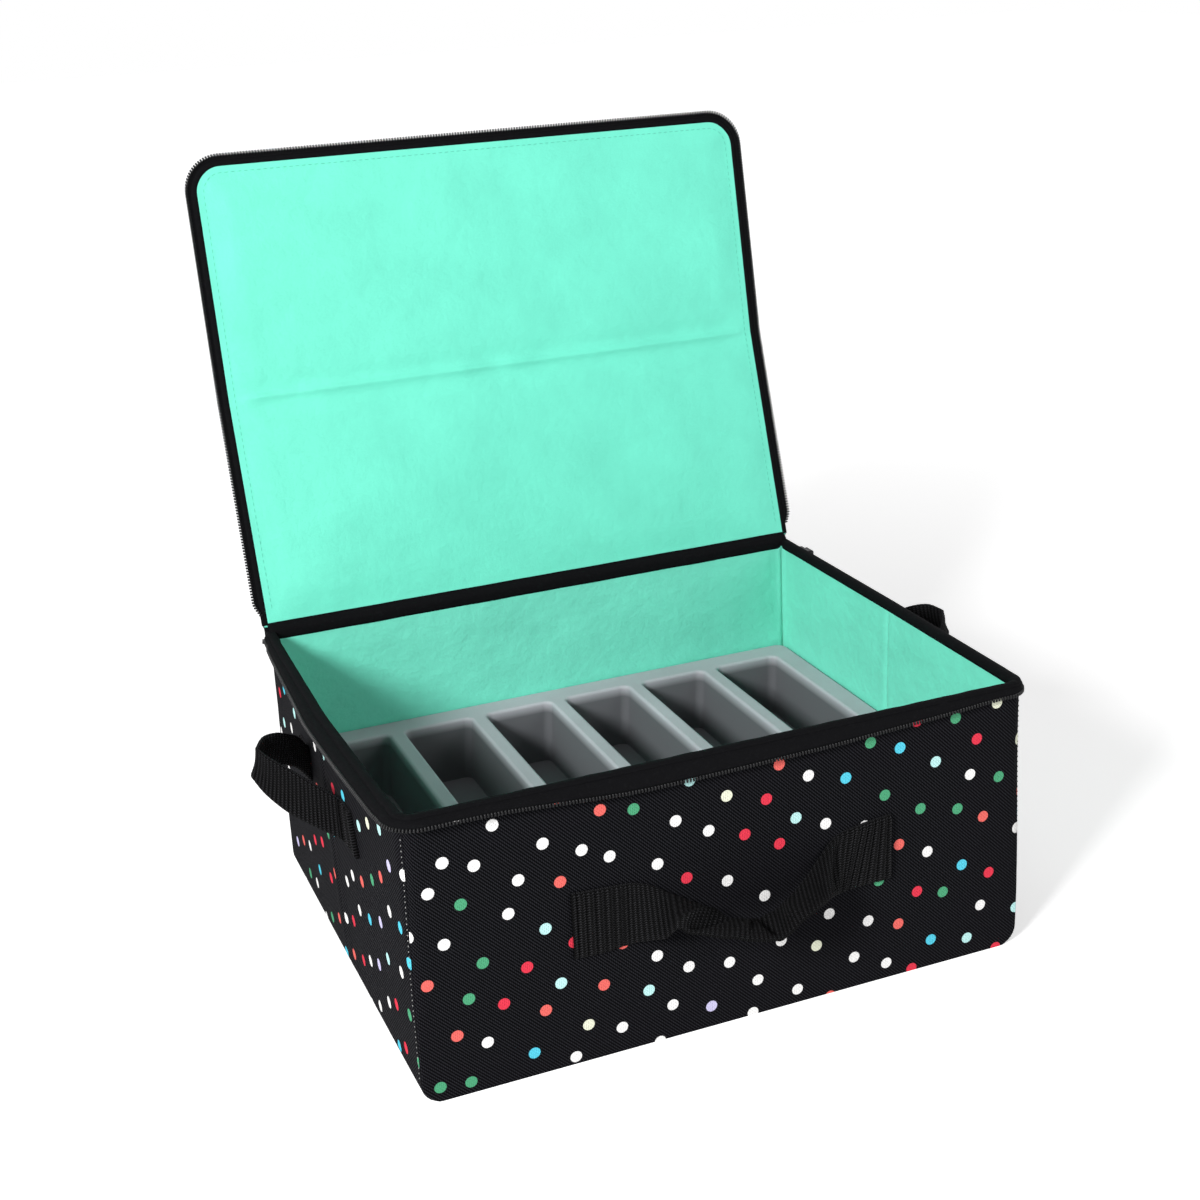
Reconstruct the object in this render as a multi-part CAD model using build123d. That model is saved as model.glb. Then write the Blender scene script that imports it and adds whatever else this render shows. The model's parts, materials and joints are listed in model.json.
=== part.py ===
from build123d import *
import os
from math import copysign, cos, pi, radians, sin, tan

# Craft punch organizer: a zip-up box of printed fabric over stiff boards, with a folding lid and a
# moulded tray. Millimetres. X runs right along the front, Y to the back, Z up. The origin is the
# centre of the base's underside. The front face is at -Y, and the lid stands open.

# Case
case_width = 360.0
case_depth = 284.0
case_height = 165.0
bottom_corner_radius = 11.0

# Layers of every wall, from the outside in
fabric_thickness = 0.6
board_thickness = 2.0
lining_thickness = 0.5
board_corner_gap = 1.0
fold_gap = 3.0
board_top_drop = 2.0

# Binding over the walls' top edge
binding_thickness = 0.6
binding_drop = 6.0
binding_clearance = 0.2
cut_margin = 1.0

# Zip round the case: a tape that flares outward from the rim, and a coil along its edge
tape_thickness = 0.8
case_tape_reach = 5.5
case_tape_drop = 6.5
case_tape_rear_gap = 9.0
rim_corner_radius = 14.0
rim_top_radius = 0.4
tape_gap = 0.1
coil_width = 2.6
coil_height = 2.2

# Hinge tape between the back wall and the lid
hinge_tape_height = 6.0
hinge_axis_inset = 0.5
hinge_axis_rise = 1.0

# Lid
lid_open_angle = 71.3
lid_bend_angle = 7.2
lid_fold_distance = 142.0
lid_depth = 284.0
lid_start_gap = 2.0
lid_corner_radius = 17.0
lid_tape_width = 5.2
lid_zip_start = 13.0
lid_seam_margin = 1.5
lid_fold_clearance = 0.4

# Tray
tray_clearance = 1.5
tray_top_height = 89.4
tray_wall = 1.2
tray_corner_radius = 8.0
pocket_count = 6
pocket_rib = 10.0
pocket_side_margin = 15.4
pocket_end_margin = 17.4
pocket_depth = 40.0
pocket_corner_radius = 5.0
pocket_draft = 5.0
pocket_mouth_radius = 2.0

# Webbing handles: the front one of wider webbing than the two at the sides
front_webbing_width = 38.0
side_webbing_width = 25.0
webbing_thickness = 1.8
front_sewn_length = 30.0
side_sewn_length = 24.0
front_handle_span = 187.0
front_handle_height = 82.5
front_handle_sag = 12.0
front_handle_stand_off = 24.0
front_handle_lean = 82.0
side_handle_span = 116.0
side_handle_height = 117.0
side_handle_reach = 44.0
side_handle_lift = 35.0
handle_wall_gap = 0.4
strap_joint_gap = 1.0
strap_station_count = 11
side_loop_roundness = 0.7

# Zip slider, parked at the right rear end, and its pull
slider_length = 11.0
slider_plate = 1.2
slider_clearance = 0.35
pull_length = 19.0
pull_width = 7.0
pull_thickness = 1.4
pull_pin_radius = 0.8
pull_pin_clearance = 0.25
pull_eye_wall = 0.9
stop_length = 3.0

half_width = case_width / 2
half_depth = case_depth / 2
wall_thickness = fabric_thickness + board_thickness + lining_thickness
floor_top = wall_thickness
board_top = case_height - board_top_drop
hinge_y = half_depth - hinge_axis_inset
hinge_z = case_height + hinge_axis_rise

parts = {}


def box_between(low, high):
    size = [h - l for l, h in zip(low, high)]
    centre = [(h + l) / 2 for l, h in zip(low, high)]
    return Pos(*centre) * Box(*size)


def case_end_profile(inset, top, radius):
    """The front or back panel's outline in XZ, with rounded bottom corners."""
    side = half_width - inset
    bend = radius - inset
    with BuildSketch(Plane.XZ) as outline:
        with BuildLine():
            FilletPolyline(
                (-side, top),
                (-side, inset),
                (side, inset),
                (side, top),
                radius=bend,
            )
            Line((side, top), (-side, top))
        make_face()
    return outline.sketch


def end_panel(inset, top, y_low, y_high):
    face = case_end_profile(inset, top, bottom_corner_radius)
    solid = extrude(face, amount=y_high - y_low, dir=(0, 1, 0))
    return Pos(0, y_low, 0) * solid


# Outer fabric: front, back, two sides that turn the bottom corners, and the bottom
skin_top = case_height - binding_thickness - binding_clearance
front_skin_inner = -half_depth + fabric_thickness
back_skin_inner = half_depth - fabric_thickness
parts["outer_front_panel"] = end_panel(0, skin_top, -half_depth, front_skin_inner)
parts["outer_back_panel"] = end_panel(0, skin_top, back_skin_inner, half_depth)

sleeve_outer = end_panel(0, skin_top, front_skin_inner, back_skin_inner)
sleeve_inner = end_panel(fabric_thickness, skin_top + cut_margin, front_skin_inner, back_skin_inner)
sleeve = sleeve_outer - sleeve_inner
bottom_half = half_width - bottom_corner_radius
beyond = half_width + cut_margin
bottom_cut = box_between(
    (-bottom_half, -half_depth, -cut_margin), (bottom_half, half_depth, fabric_thickness + cut_margin)
)
left_cut = box_between((-beyond, -half_depth, -cut_margin), (-bottom_half, half_depth, case_height))
right_cut = box_between((bottom_half, -half_depth, -cut_margin), (beyond, half_depth, case_height))
parts["outer_bottom_panel"] = sleeve & bottom_cut
parts["outer_left_panel"] = sleeve & left_cut
parts["outer_right_panel"] = sleeve & right_cut

# Stiff boards: one in the front, one in the back, two in each side with a fold between, one in the base
board_outer_y = half_depth - fabric_thickness
board_inner_y = board_outer_y - board_thickness
parts["front_board"] = end_panel(fabric_thickness, board_top, -board_outer_y, -board_inner_y)
parts["back_board"] = end_panel(fabric_thickness, board_top, board_inner_y, board_outer_y)

side_outer_x = half_width - fabric_thickness
side_inner_x = side_outer_x - board_thickness
side_board_end = board_inner_y - board_corner_gap
for side, sign in (("left", -1), ("right", 1)):
    x_low, x_high = sorted((sign * side_outer_x, sign * side_inner_x))
    spans = {
        "front": (-side_board_end, -fold_gap / 2),
        "rear": (fold_gap / 2, side_board_end),
    }
    for half, (y_low, y_high) in spans.items():
        parts[f"{side}_{half}_board"] = box_between(
            (x_low, y_low, bottom_corner_radius), (x_high, y_high, board_top)
        )

base_half_x = half_width - bottom_corner_radius - board_corner_gap
parts["base_board"] = box_between(
    (-base_half_x, -side_board_end, fabric_thickness),
    (base_half_x, side_board_end, fabric_thickness + board_thickness),
)

# Lining: four walls and a bottom sheet, just inside the boards. The side sheets stop above the
# rounded bottom corners.
lining_top = case_height - binding_drop
lining_back_top = case_height - hinge_tape_height
lining_x = side_inner_x - lining_thickness
lining_y = board_inner_y - lining_thickness
parts["lining_front"] = end_panel(wall_thickness, lining_top, -board_inner_y, -lining_y)
parts["lining_back"] = end_panel(wall_thickness, lining_back_top, lining_y, board_inner_y)
for side, sign in (("left", -1), ("right", 1)):
    x_low, x_high = sorted((sign * lining_x, sign * side_inner_x))
    parts[f"lining_{side}"] = box_between(
        (x_low, -lining_y, bottom_corner_radius), (x_high, lining_y, lining_top)
    )
parts["lining_bottom"] = box_between(
    (-base_half_x, -lining_y, fabric_thickness + board_thickness), (base_half_x, lining_y, floor_top)
)

# Binding over the walls' top edge, and the hinge tape over the back wall's, the black band under
# the lid. Each is an upside-down U, mitred at the corners: a cap, a short lip outside and a leg inside.
binding_inner = wall_thickness + binding_thickness
binding_crown = case_height - binding_thickness


def case_ring(outer_inset, inner_inset, low, high):
    outer = Rectangle(case_width - 2 * outer_inset, case_depth - 2 * outer_inset)
    inner = Rectangle(case_width - 2 * inner_inset, case_depth - 2 * inner_inset)
    return extrude(Pos(0, 0, low) * (outer - inner), amount=high - low)


def rim_ring(drop):
    cap = case_ring(0, binding_inner, binding_crown, case_height)
    lip = case_ring(0, fabric_thickness, skin_top, binding_crown)
    leg = case_ring(wall_thickness, binding_inner, case_height - drop, case_height)
    return cap + lip + leg


def mitre(corner, next_corner):
    """A prism over one wall, between two of the case's corners, cut at 45 degrees at its ends."""
    reach = half_depth / 2
    inner, next_inner = (
        (x - copysign(reach, x), y - copysign(reach, y)) for x, y in (corner, next_corner)
    )
    outline = make_face(Polyline(corner, next_corner, next_inner, inner, close=True))
    return extrude(outline, amount=2 * case_height, dir=(0, 0, 1))


binding_ring = rim_ring(binding_drop)
front_left, front_right = (-half_width, -half_depth), (half_width, -half_depth)
back_left, back_right = (-half_width, half_depth), (half_width, half_depth)
parts["rim_binding_front"] = binding_ring & mitre(front_left, front_right)
parts["rim_binding_left"] = binding_ring & mitre(back_left, front_left)
parts["rim_binding_right"] = binding_ring & mitre(front_right, back_right)
parts["hinge_tape"] = rim_ring(hinge_tape_height) & mitre(back_right, back_left)

# Zip tape round the case, open at the back: it flares out from the rim and down
zip_rear_y = half_depth - case_tape_rear_gap
zip_low = case_height - case_tape_drop


def rounded_plan(outset, radius, height):
    sketch = RectangleRounded(case_width + 2 * outset, case_depth + 2 * outset, radius)
    return Pos(0, 0, height) * sketch


def flared_prism(extra):
    """A solid that widens downwards, from the case's outline at the rim to the coil's line."""
    low_face = rounded_plan(case_tape_reach + extra, rim_corner_radius, zip_low)
    high_face = rounded_plan(extra, rim_top_radius, case_height)
    return loft([low_face, high_face], ruled=True)


rear_cut = box_between(
    (-case_width, zip_rear_y, 0),
    (case_width, case_depth, 2 * case_height),
)
case_tape = flared_prism(tape_gap + tape_thickness) - flared_prism(tape_gap)
parts["case_zip_tape"] = case_tape - rear_cut

# Coil along the tape's lower edge
coil_middle = case_tape_reach + tape_gap + tape_thickness / 2
coil_top = zip_low
coil_low = coil_top - coil_height
coil_out = coil_middle + coil_width / 2
coil_in = coil_middle - coil_width / 2
coil_radius = rim_corner_radius + coil_width / 2
coil_ring = extrude(rounded_plan(coil_out, coil_radius, coil_low), amount=coil_height)
coil_ring -= extrude(
    rounded_plan(coil_in, coil_radius - coil_width, coil_low), amount=coil_height
)
parts["case_zip_coil"] = coil_ring - rear_cut

# Stops that end the coil at the back, one on each side
stops = []
for sign in (-1, 1):
    x_low, x_high = sorted((sign * (half_width + coil_in), sign * (half_width + coil_out)))
    stops.append(
        box_between((x_low, zip_rear_y, coil_low), (x_high, zip_rear_y + stop_length, coil_top))
    )
parts["zip_end_stops"] = Compound(children=stops)

# Lid. Each half is made flat, lining face at height 0 and cover below it, with Y running away from
# the hinge or the fold. Then it is turned up about its own axis.
board_face = -lining_thickness
cover_face = board_face - board_thickness
lid_back = cover_face - fabric_thickness
layers = {
    "lining": (board_face, 0.0, lid_seam_margin),
    "board": (cover_face, board_face, lid_seam_margin),
    "cover": (lid_back, cover_face, 0.0),
}
fold_depth = lid_back - lid_fold_clearance
hinge_place = Pos(0, hinge_y, hinge_z) * Rot(lid_open_angle, 0, 0)
fold_place = hinge_place * Pos(0, lid_fold_distance, fold_depth) * Rot(lid_bend_angle, 0, 0)


def free_edge_sheet(inset, low, high, near=fold_gap / 2):
    """A sheet from the fold to the lid's free edge, with that edge's two corners rounded."""
    far = lid_depth - lid_fold_distance - inset
    side = half_width - inset
    sheet = box_between((-side, near, low), (side, far, high))
    corners = sheet.edges().filter_by(Axis.Z).sort_by(Axis.Y)[-2:]
    return fillet(corners, lid_corner_radius - inset)


for layer, (low, high, inset) in layers.items():
    side = half_width - inset
    rear_sheet = box_between(
        (-side, lid_start_gap, low), (side, lid_fold_distance - fold_gap / 2, high)
    )
    front_sheet = free_edge_sheet(inset, low, high)
    lifted = Pos(0, 0, -fold_depth)
    parts[f"lid_rear_{layer}"] = hinge_place * rear_sheet
    parts[f"lid_front_{layer}"] = fold_place * lifted * front_sheet

# Zip tape and coil round the lid's edge
lid_tape_high = board_face
lid_tape_low = lid_tape_high - tape_thickness
lid_coil_high = lid_tape_high + (coil_height - tape_thickness) / 2
lid_coil_low = lid_coil_high - coil_height
rear_tapes = []
rear_coils = []
for sign in (-1, 1):
    rails = (
        (rear_tapes, 0.0, lid_tape_width, lid_tape_low, lid_tape_high),
        (rear_coils, lid_tape_width, lid_tape_width + coil_width, lid_coil_low, lid_coil_high),
    )
    for rail, start, stop, low, high in rails:
        x_low, x_high = sorted((sign * (half_width + start), sign * (half_width + stop)))
        rail.append(
            box_between((x_low, lid_zip_start, low), (x_high, lid_fold_distance - fold_gap / 2, high))
        )
parts["lid_rear_zip_tapes"] = hinge_place * Compound(children=rear_tapes)
parts["lid_rear_zip_coils"] = hinge_place * Compound(children=rear_coils)


def free_edge_band(start, stop, low, high):
    """A band round the lid's free edge, from one distance outside the cover's edge to another."""
    return free_edge_sheet(-stop, low, high) - free_edge_sheet(-start, low, high, near=0)


front_tape = free_edge_band(0.0, lid_tape_width, lid_tape_low, lid_tape_high)
front_coil = free_edge_band(lid_tape_width, lid_tape_width + coil_width, lid_coil_low, lid_coil_high)
parts["lid_front_zip_tape"] = fold_place * lifted * front_tape
parts["lid_front_zip_coil"] = fold_place * lifted * front_coil

# Moulded tray: a skirt and a top sheet, with a drafted cup for each pocket
tray_half_x = half_width - wall_thickness - tray_clearance
tray_half_y = half_depth - wall_thickness - tray_clearance
tray_height = tray_top_height - floor_top
pocket_length = 2 * (tray_half_y - pocket_end_margin)
pockets_width = 2 * (tray_half_x - pocket_side_margin)
pocket_width = (pockets_width - (pocket_count - 1) * pocket_rib) / pocket_count
pocket_pitch = pocket_width + pocket_rib
tray_outline = RectangleRounded(2 * tray_half_x, 2 * tray_half_y, tray_corner_radius)
tray_inside = RectangleRounded(
    2 * (tray_half_x - tray_wall), 2 * (tray_half_y - tray_wall), tray_corner_radius - tray_wall
)
tray = extrude(Pos(0, 0, floor_top) * tray_outline, amount=tray_height)
tray -= extrude(Pos(0, 0, floor_top) * tray_inside, amount=tray_height - tray_wall)


def pocket_cup(grow, depth):
    """A pocket's inside, or with grow its outside: narrower at the bottom by the draft."""
    taper = pocket_depth * tan(radians(pocket_draft))
    top_face = RectangleRounded(
        pocket_width + 2 * grow, pocket_length + 2 * grow, pocket_corner_radius + grow
    )
    low_face = RectangleRounded(
        pocket_width - 2 * taper + 2 * grow,
        pocket_length - 2 * taper + 2 * grow,
        pocket_corner_radius + grow,
    )
    return loft([Pos(0, 0, -depth) * low_face, top_face], ruled=True)


pocket_centres = [(i - (pocket_count - 1) / 2) * pocket_pitch for i in range(pocket_count)]
for x in pocket_centres:
    tray += Pos(x, 0, tray_top_height) * pocket_cup(tray_wall, pocket_depth + tray_wall)
for x in pocket_centres:
    tray -= Pos(x, 0, tray_top_height) * pocket_cup(0, pocket_depth)
top_edges = tray.edges().filter_by_position(Axis.Z, tray_top_height, tray_top_height)
parts["punch_tray"] = fillet(top_edges, pocket_mouth_radius)

# Webbing handles: each strap's two sewn ends lie flat on a wall, and its middle is free
strap_offset = webbing_thickness / 2 + handle_wall_gap


def strap(width, stations):
    """A ruled band through upright sections, each (place, direction of travel, lean about it)."""
    sections = []
    for place, travel, lean in stations:
        section_plane = Plane(origin=place, x_dir=travel.cross(Vector(0, 0, 1)), z_dir=travel)
        rectangle = Rot(0, 0, lean) * Rectangle(webbing_thickness, width)
        sections.append(section_plane * rectangle)
    return loft(sections, ruled=True)


def sewn_ends(width, length, span, height):
    """Both sewn ends of a strap, on a wall whose face is the XZ plane, outward along -Y."""
    ends = []
    for sign in (-1, 1):
        x_low, x_high = sorted((sign * span / 2, sign * (span / 2 - length)))
        low = (x_low, -webbing_thickness, height - width / 2)
        ends.append(box_between(low, (x_high, 0, height + width / 2)))
    return Compound(children=ends)


front_wall = Pos(0, -half_depth, 0)
left_wall = Pos(-half_width, 0, 0) * Rot(0, 0, -90)
parts["front_handle_ends"] = front_wall * sewn_ends(
    front_webbing_width, front_sewn_length, front_handle_span, front_handle_height
)
left_ends = left_wall * sewn_ends(
    side_webbing_width, side_sewn_length, side_handle_span, side_handle_height
)
parts["left_handle_ends"] = left_ends
parts["right_handle_ends"] = mirror(left_ends, about=Plane.YZ)

# Front strap: it sags and stands off the wall, and leans until its middle lies almost flat, with its
# lower edge outward
front_free = front_handle_span / 2 - front_sewn_length - strap_joint_gap
front_stations = []
for i in range(strap_station_count):
    across = -1 + 2 * i / (strap_station_count - 1)
    middle = 1 - across**2
    place = Vector(
        front_free * across,
        -half_depth - strap_offset - front_handle_stand_off * middle,
        front_handle_height - front_handle_sag * middle,
    )
    front_stations.append((place, Vector(1, 0, 0), -front_handle_lean * middle**2))
parts["front_handle_strap"] = strap(front_webbing_width, front_stations)

# Side straps: a loop that stands out from the wall and is lifted at its tip
side_free = side_handle_span / 2 - side_sewn_length - strap_joint_gap - webbing_thickness / 2
side_axis_x = -half_width - webbing_thickness - handle_wall_gap
side_axis_z = side_handle_height + side_webbing_width / 2
loop_stations = []
for i in range(strap_station_count):
    turn = pi * i / (strap_station_count - 1)
    reach_now = side_handle_reach * max(sin(turn), 0) ** side_loop_roundness
    place = Vector(side_axis_x - reach_now, -side_free * cos(turn), side_handle_height)
    travel = Vector(-cos(turn), sin(turn), 0)
    loop_stations.append((place, travel, 0))
upright_loop = strap(side_webbing_width, loop_stations)
side_axis = Axis((side_axis_x, 0, side_axis_z), (0, 1, 0))
left_strap = upright_loop.rotate(side_axis, side_handle_lift)
parts["left_handle_strap"] = left_strap
parts["right_handle_strap"] = mirror(left_strap, about=Plane.YZ)

# Zip slider: a channel round the coil, open towards the tape, with two lugs and a pin for the pull
coil_x = half_width + coil_middle
coil_z = coil_top - coil_height / 2
slider_y = zip_rear_y - slider_length / 2 - slider_clearance
inner_half_x = coil_width / 2 + slider_clearance
inner_half_z = coil_height / 2 + slider_clearance
outer_half_x = inner_half_x + slider_plate
outer_half_z = inner_half_z + slider_plate
slider_place = Pos(coil_x, slider_y, coil_z)
half_slider = slider_length / 2
body = box_between((-outer_half_x, -half_slider, -outer_half_z), (outer_half_x, half_slider, outer_half_z))
body -= box_between((-inner_half_x, -half_slider, -inner_half_z), (inner_half_x, half_slider, inner_half_z))
tape_slot_x = tape_thickness / 2 + slider_clearance
body -= box_between((-outer_half_x, -half_slider, 0), (tape_slot_x, half_slider, outer_half_z))
pull_eye_radius = pull_pin_radius + pull_pin_clearance + pull_eye_wall
pin_x = outer_half_x + pull_eye_radius + slider_clearance
lug_length = (slider_length - pull_width) / 2 - slider_clearance
for sign in (-1, 1):
    y_low, y_high = sorted((sign * half_slider, sign * (half_slider - lug_length)))
    body += box_between(
        (outer_half_x, y_low, -pull_pin_radius), (pin_x + pull_pin_radius, y_high, pull_pin_radius)
    )
pin = Pos(pin_x, 0, 0) * Rot(90, 0, 0) * Cylinder(pull_pin_radius, slider_length)
parts["zip_slider"] = slider_place * (body + pin)

# Pull: an eye round the pin and a tab that hangs from it
eye = Rot(90, 0, 0) * Cylinder(pull_eye_radius, pull_width)
tab = box_between(
    (-pull_thickness / 2, -pull_width / 2, -pull_length), (pull_thickness / 2, pull_width / 2, 0)
)
bore = Rot(90, 0, 0) * Cylinder(pull_pin_radius + pull_pin_clearance, pull_width)
parts["zip_pull"] = slider_place * Pos(pin_x, 0, 0) * (eye + tab - bore)

os.makedirs("parts", exist_ok=True)
for name, shape in parts.items():
    export_step(shape, f"parts/{name}.step")
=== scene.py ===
import json
from math import cos, pi, radians, sin

import bpy
import numpy as np
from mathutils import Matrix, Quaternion, Vector


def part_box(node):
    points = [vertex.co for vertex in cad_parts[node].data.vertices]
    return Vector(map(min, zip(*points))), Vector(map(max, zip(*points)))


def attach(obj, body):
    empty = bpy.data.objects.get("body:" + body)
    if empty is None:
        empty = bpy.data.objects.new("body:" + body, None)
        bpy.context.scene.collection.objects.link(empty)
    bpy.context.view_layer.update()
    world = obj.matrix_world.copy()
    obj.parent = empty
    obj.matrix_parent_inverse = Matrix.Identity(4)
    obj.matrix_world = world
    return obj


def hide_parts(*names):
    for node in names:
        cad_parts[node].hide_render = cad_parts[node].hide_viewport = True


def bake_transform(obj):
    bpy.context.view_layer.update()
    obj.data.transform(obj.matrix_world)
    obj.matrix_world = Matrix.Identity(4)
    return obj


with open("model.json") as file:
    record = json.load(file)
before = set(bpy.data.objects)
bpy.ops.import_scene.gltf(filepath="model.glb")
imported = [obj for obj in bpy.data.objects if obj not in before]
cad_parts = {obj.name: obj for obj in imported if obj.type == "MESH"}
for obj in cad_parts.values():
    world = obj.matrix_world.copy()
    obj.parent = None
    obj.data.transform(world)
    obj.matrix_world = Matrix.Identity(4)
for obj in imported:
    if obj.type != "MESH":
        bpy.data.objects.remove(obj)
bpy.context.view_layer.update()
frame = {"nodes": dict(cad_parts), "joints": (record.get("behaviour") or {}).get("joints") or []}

# The box is a zip-up case of printed cloth sewn over stiff boards, standing on a table with its lid
# open. The view is the one that fits the box's corners: a short telephoto, from the front left.
MM = 0.001
view_azimuth = 21.483
view_elevation = 20.476
view_roll = -2.672
view_from = (-371.285, -908.54, 565.806)
view_lens = 54.35
view_sensor = 36.0
view_far_limit = 20.0

scene = bpy.context.scene
scene.view_settings.view_transform = "Standard"
camera = bpy.data.objects.new("camera", bpy.data.cameras.new("camera"))
scene.collection.objects.link(camera)
camera.data.sensor_width = view_sensor
camera.data.lens = view_lens
camera.data.clip_end = view_far_limit
turn, tilt = radians(view_azimuth), radians(view_elevation)
looking = Vector((sin(turn) * cos(tilt), cos(turn) * cos(tilt), -sin(tilt)))
level = looking.to_track_quat("-Z", "Y")
camera.rotation_mode = "QUATERNION"
camera.rotation_quaternion = level @ Quaternion((0, 0, 1), radians(view_roll))
camera.location = Vector(view_from) * MM
scene.camera = camera

# Chipboard stiffens every wall. The base, front and back each have one piece and each side has two,
# glued between cloth and lining, with a bare strip between them where the side folds inward.
case_low, case_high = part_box("outer_front_panel")
half_width = case_high.x / MM
half_depth = -case_low.y / MM
case_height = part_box("rim_binding_front")[1].z / MM
cloth_thickness = 0.6
board_thickness = 2.0
corner_radius = 11.0
fold_gap = 3.0
left_right = {"left": -1, "right": 1}
front_back = {"front": -1, "back": 1}
slab_step = 8.0
side_bow = {-1: 3.6, 1: 1.0}
bow_depth, bow_fade = 26.0, 14.0
bow_margin, bow_peak = 4.0, 0.85
bow_rise, bow_rise_limit = 1.2, 1.1
rim_corner_round = 9.0
rim_corner_start, rim_corner_full = 6.0, 158.0


def fade(distance, reach):
    """0 at an edge and beyond it, 1 from reach inside it."""
    return np.clip(distance / reach, 0, 1)


def smooth_step(value, low, high):
    share = fade(value - low, high - low)
    return share * share * (3 - 2 * share)


def settled(points):
    """Points of the flat-walled case to where its walls stand. The sides bow outward at the fold, more
    towards the top, as the tape pulls on them. The upright corners round off near the rim."""
    points = np.array(points, float)
    x, y, z = points[..., 0], points[..., 1], points[..., 2]
    radius = rim_corner_round * smooth_step(z, rim_corner_start, rim_corner_full) + 1e-6
    past_x = np.abs(x) - (half_width - radius)
    past_y = np.abs(y) - (half_depth - radius)
    in_corner = (past_x > 0) & (past_y > 0)
    squeeze = np.maximum(past_x, past_y) / np.maximum(np.hypot(past_x, past_y), 1e-9)
    round_x = np.sign(x) * (half_width - radius + past_x * squeeze)
    round_y = np.sign(y) * (half_depth - radius + past_y * squeeze)
    tent = np.clip(1 - np.abs(y) / (half_depth - bow_margin), 0, 1) ** bow_peak
    rise = np.clip(z / case_height, 0, bow_rise_limit) ** bow_rise
    points[..., 0] = np.where(in_corner, round_x, x)
    points[..., 1] = np.where(in_corner, round_y, y)
    for sign, bow in side_bow.items():
        near = fade(sign * x - half_width + bow_depth, bow_fade)
        points[..., 0] += sign * bow * near * tent * rise
    return points


def make_piece(name, points, faces, material, body, stands_for=(), smooth=True):
    """A mesh from points in millimetres, with its material, its CAD body and what it stands for."""
    mesh = bpy.data.meshes.new(name)
    mesh.from_pydata((np.array(points, float) * MM).tolist(), [], faces)
    mesh.materials.append(material)
    if smooth:
        mesh.shade_smooth()
    piece = bpy.data.objects.new(name, mesh)
    scene.collection.objects.link(piece)
    if body:
        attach(piece, body)
    if stands_for:
        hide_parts(*stands_for)
    return piece


def grid_faces(rows, columns, start=0, closed=False, flip=False):
    """Quads of a grid of rows by columns; closed joins the last column to the first."""
    faces = []
    for r in range(rows - 1):
        for c in range(columns if closed else columns - 1):
            a = start + r * columns + c
            b = start + r * columns + (c + 1) % columns
            quad = [a, b, b + columns, a + columns]
            faces.append(quad[::-1] if flip else quad)
    return faces


def slab(low, high):
    """Points and faces of a closed box cut into a grid, so that it can bow with the wall."""
    counts = [max(2, int((h - l) / slab_step) + 1) for l, h in zip(low, high)]
    points, faces = [], []
    for axis in range(3):
        u, v = [a for a in range(3) if a != axis]
        for side in (0, 1):
            start = len(points)
            for a in np.linspace(low[u], high[u], counts[u]):
                for b in np.linspace(low[v], high[v], counts[v]):
                    point = [0.0, 0.0, 0.0]
                    point[axis] = (low, high)[side][axis]
                    point[u], point[v] = a, b
                    points.append(point)
            faces += grid_faces(counts[u], counts[v], start, flip=(side == 0) != (axis == 1))
    return np.array(points), faces


def wall_reach(z, inset=0.0):
    """Half the front's or back's width at a height: it narrows round the bottom corners."""
    bend = corner_radius - inset
    dip = np.clip(corner_radius - np.asarray(z, float), 0, bend)
    return half_width - corner_radius + np.sqrt(bend**2 - dip**2)


def place(tree, socket, value):
    """Sets a socket to a number or a colour, or links it where value is another socket."""
    if isinstance(value, bpy.types.NodeSocket):
        tree.links.new(value, socket)
    else:
        socket.default_value = (*value, 1) if isinstance(value, tuple) else value


def new_material(name, **constants):
    """A material with its Principled shader's own sockets set. Returns it, its tree and the shader."""
    material = bpy.data.materials.new(name)
    material.use_nodes = True
    shader = material.node_tree.nodes["Principled BSDF"]
    for socket, value in constants.items():
        place(material.node_tree, shader.inputs[socket.replace("_", " ")], value)
    return material, material.node_tree, shader


def new_group(name, inputs, outputs):
    """An empty node group with named sockets of each kind. Returns it with both its ends' sockets."""
    group = bpy.data.node_groups.new(name, "ShaderNodeTree")
    for in_out, kinds in (("INPUT", inputs), ("OUTPUT", outputs)):
        for kind, sockets in kinds.items():
            for socket in sockets:
                group.interface.new_socket(socket, in_out=in_out, socket_type=f"NodeSocket{kind}")
    start = group.nodes.new("NodeGroupInput").outputs
    end = group.nodes.new("NodeGroupOutput").inputs
    return group, start, end


def add_node(tree, kind, given=None, **settings):
    """A node with its settings, and given values or links by the name or number of the socket."""
    node = tree.nodes.new(f"ShaderNode{kind}")
    for setting, value in settings.items():
        setattr(node, setting, value)
    for socket, value in (given or {}).items():
        place(tree, node.inputs[socket], value)
    return node.outputs


def mix_colour(tree, share, a, b):
    return add_node(tree, "Mix", {0: share, 6: a, 7: b}, data_type="RGBA")[2]


def noise(tree, where, scale, detail=3.0, roughness=0.5):
    given = {"Vector": where, "Scale": scale, "Detail": detail, "Roughness": roughness}
    return add_node(tree, "TexNoise", given)["Fac"]


def spread(tree, value, low, high, out_low=0.0, out_high=1.0):
    """A value between low and high, stretched to between out_low and out_high."""
    return add_node(tree, "MapRange", {0: value, 1: low, 2: high, 3: out_low, 4: out_high})[0]


def use_group(tree, group, **inputs):
    return add_node(tree, "Group", node_tree=group, given=inputs)


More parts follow.
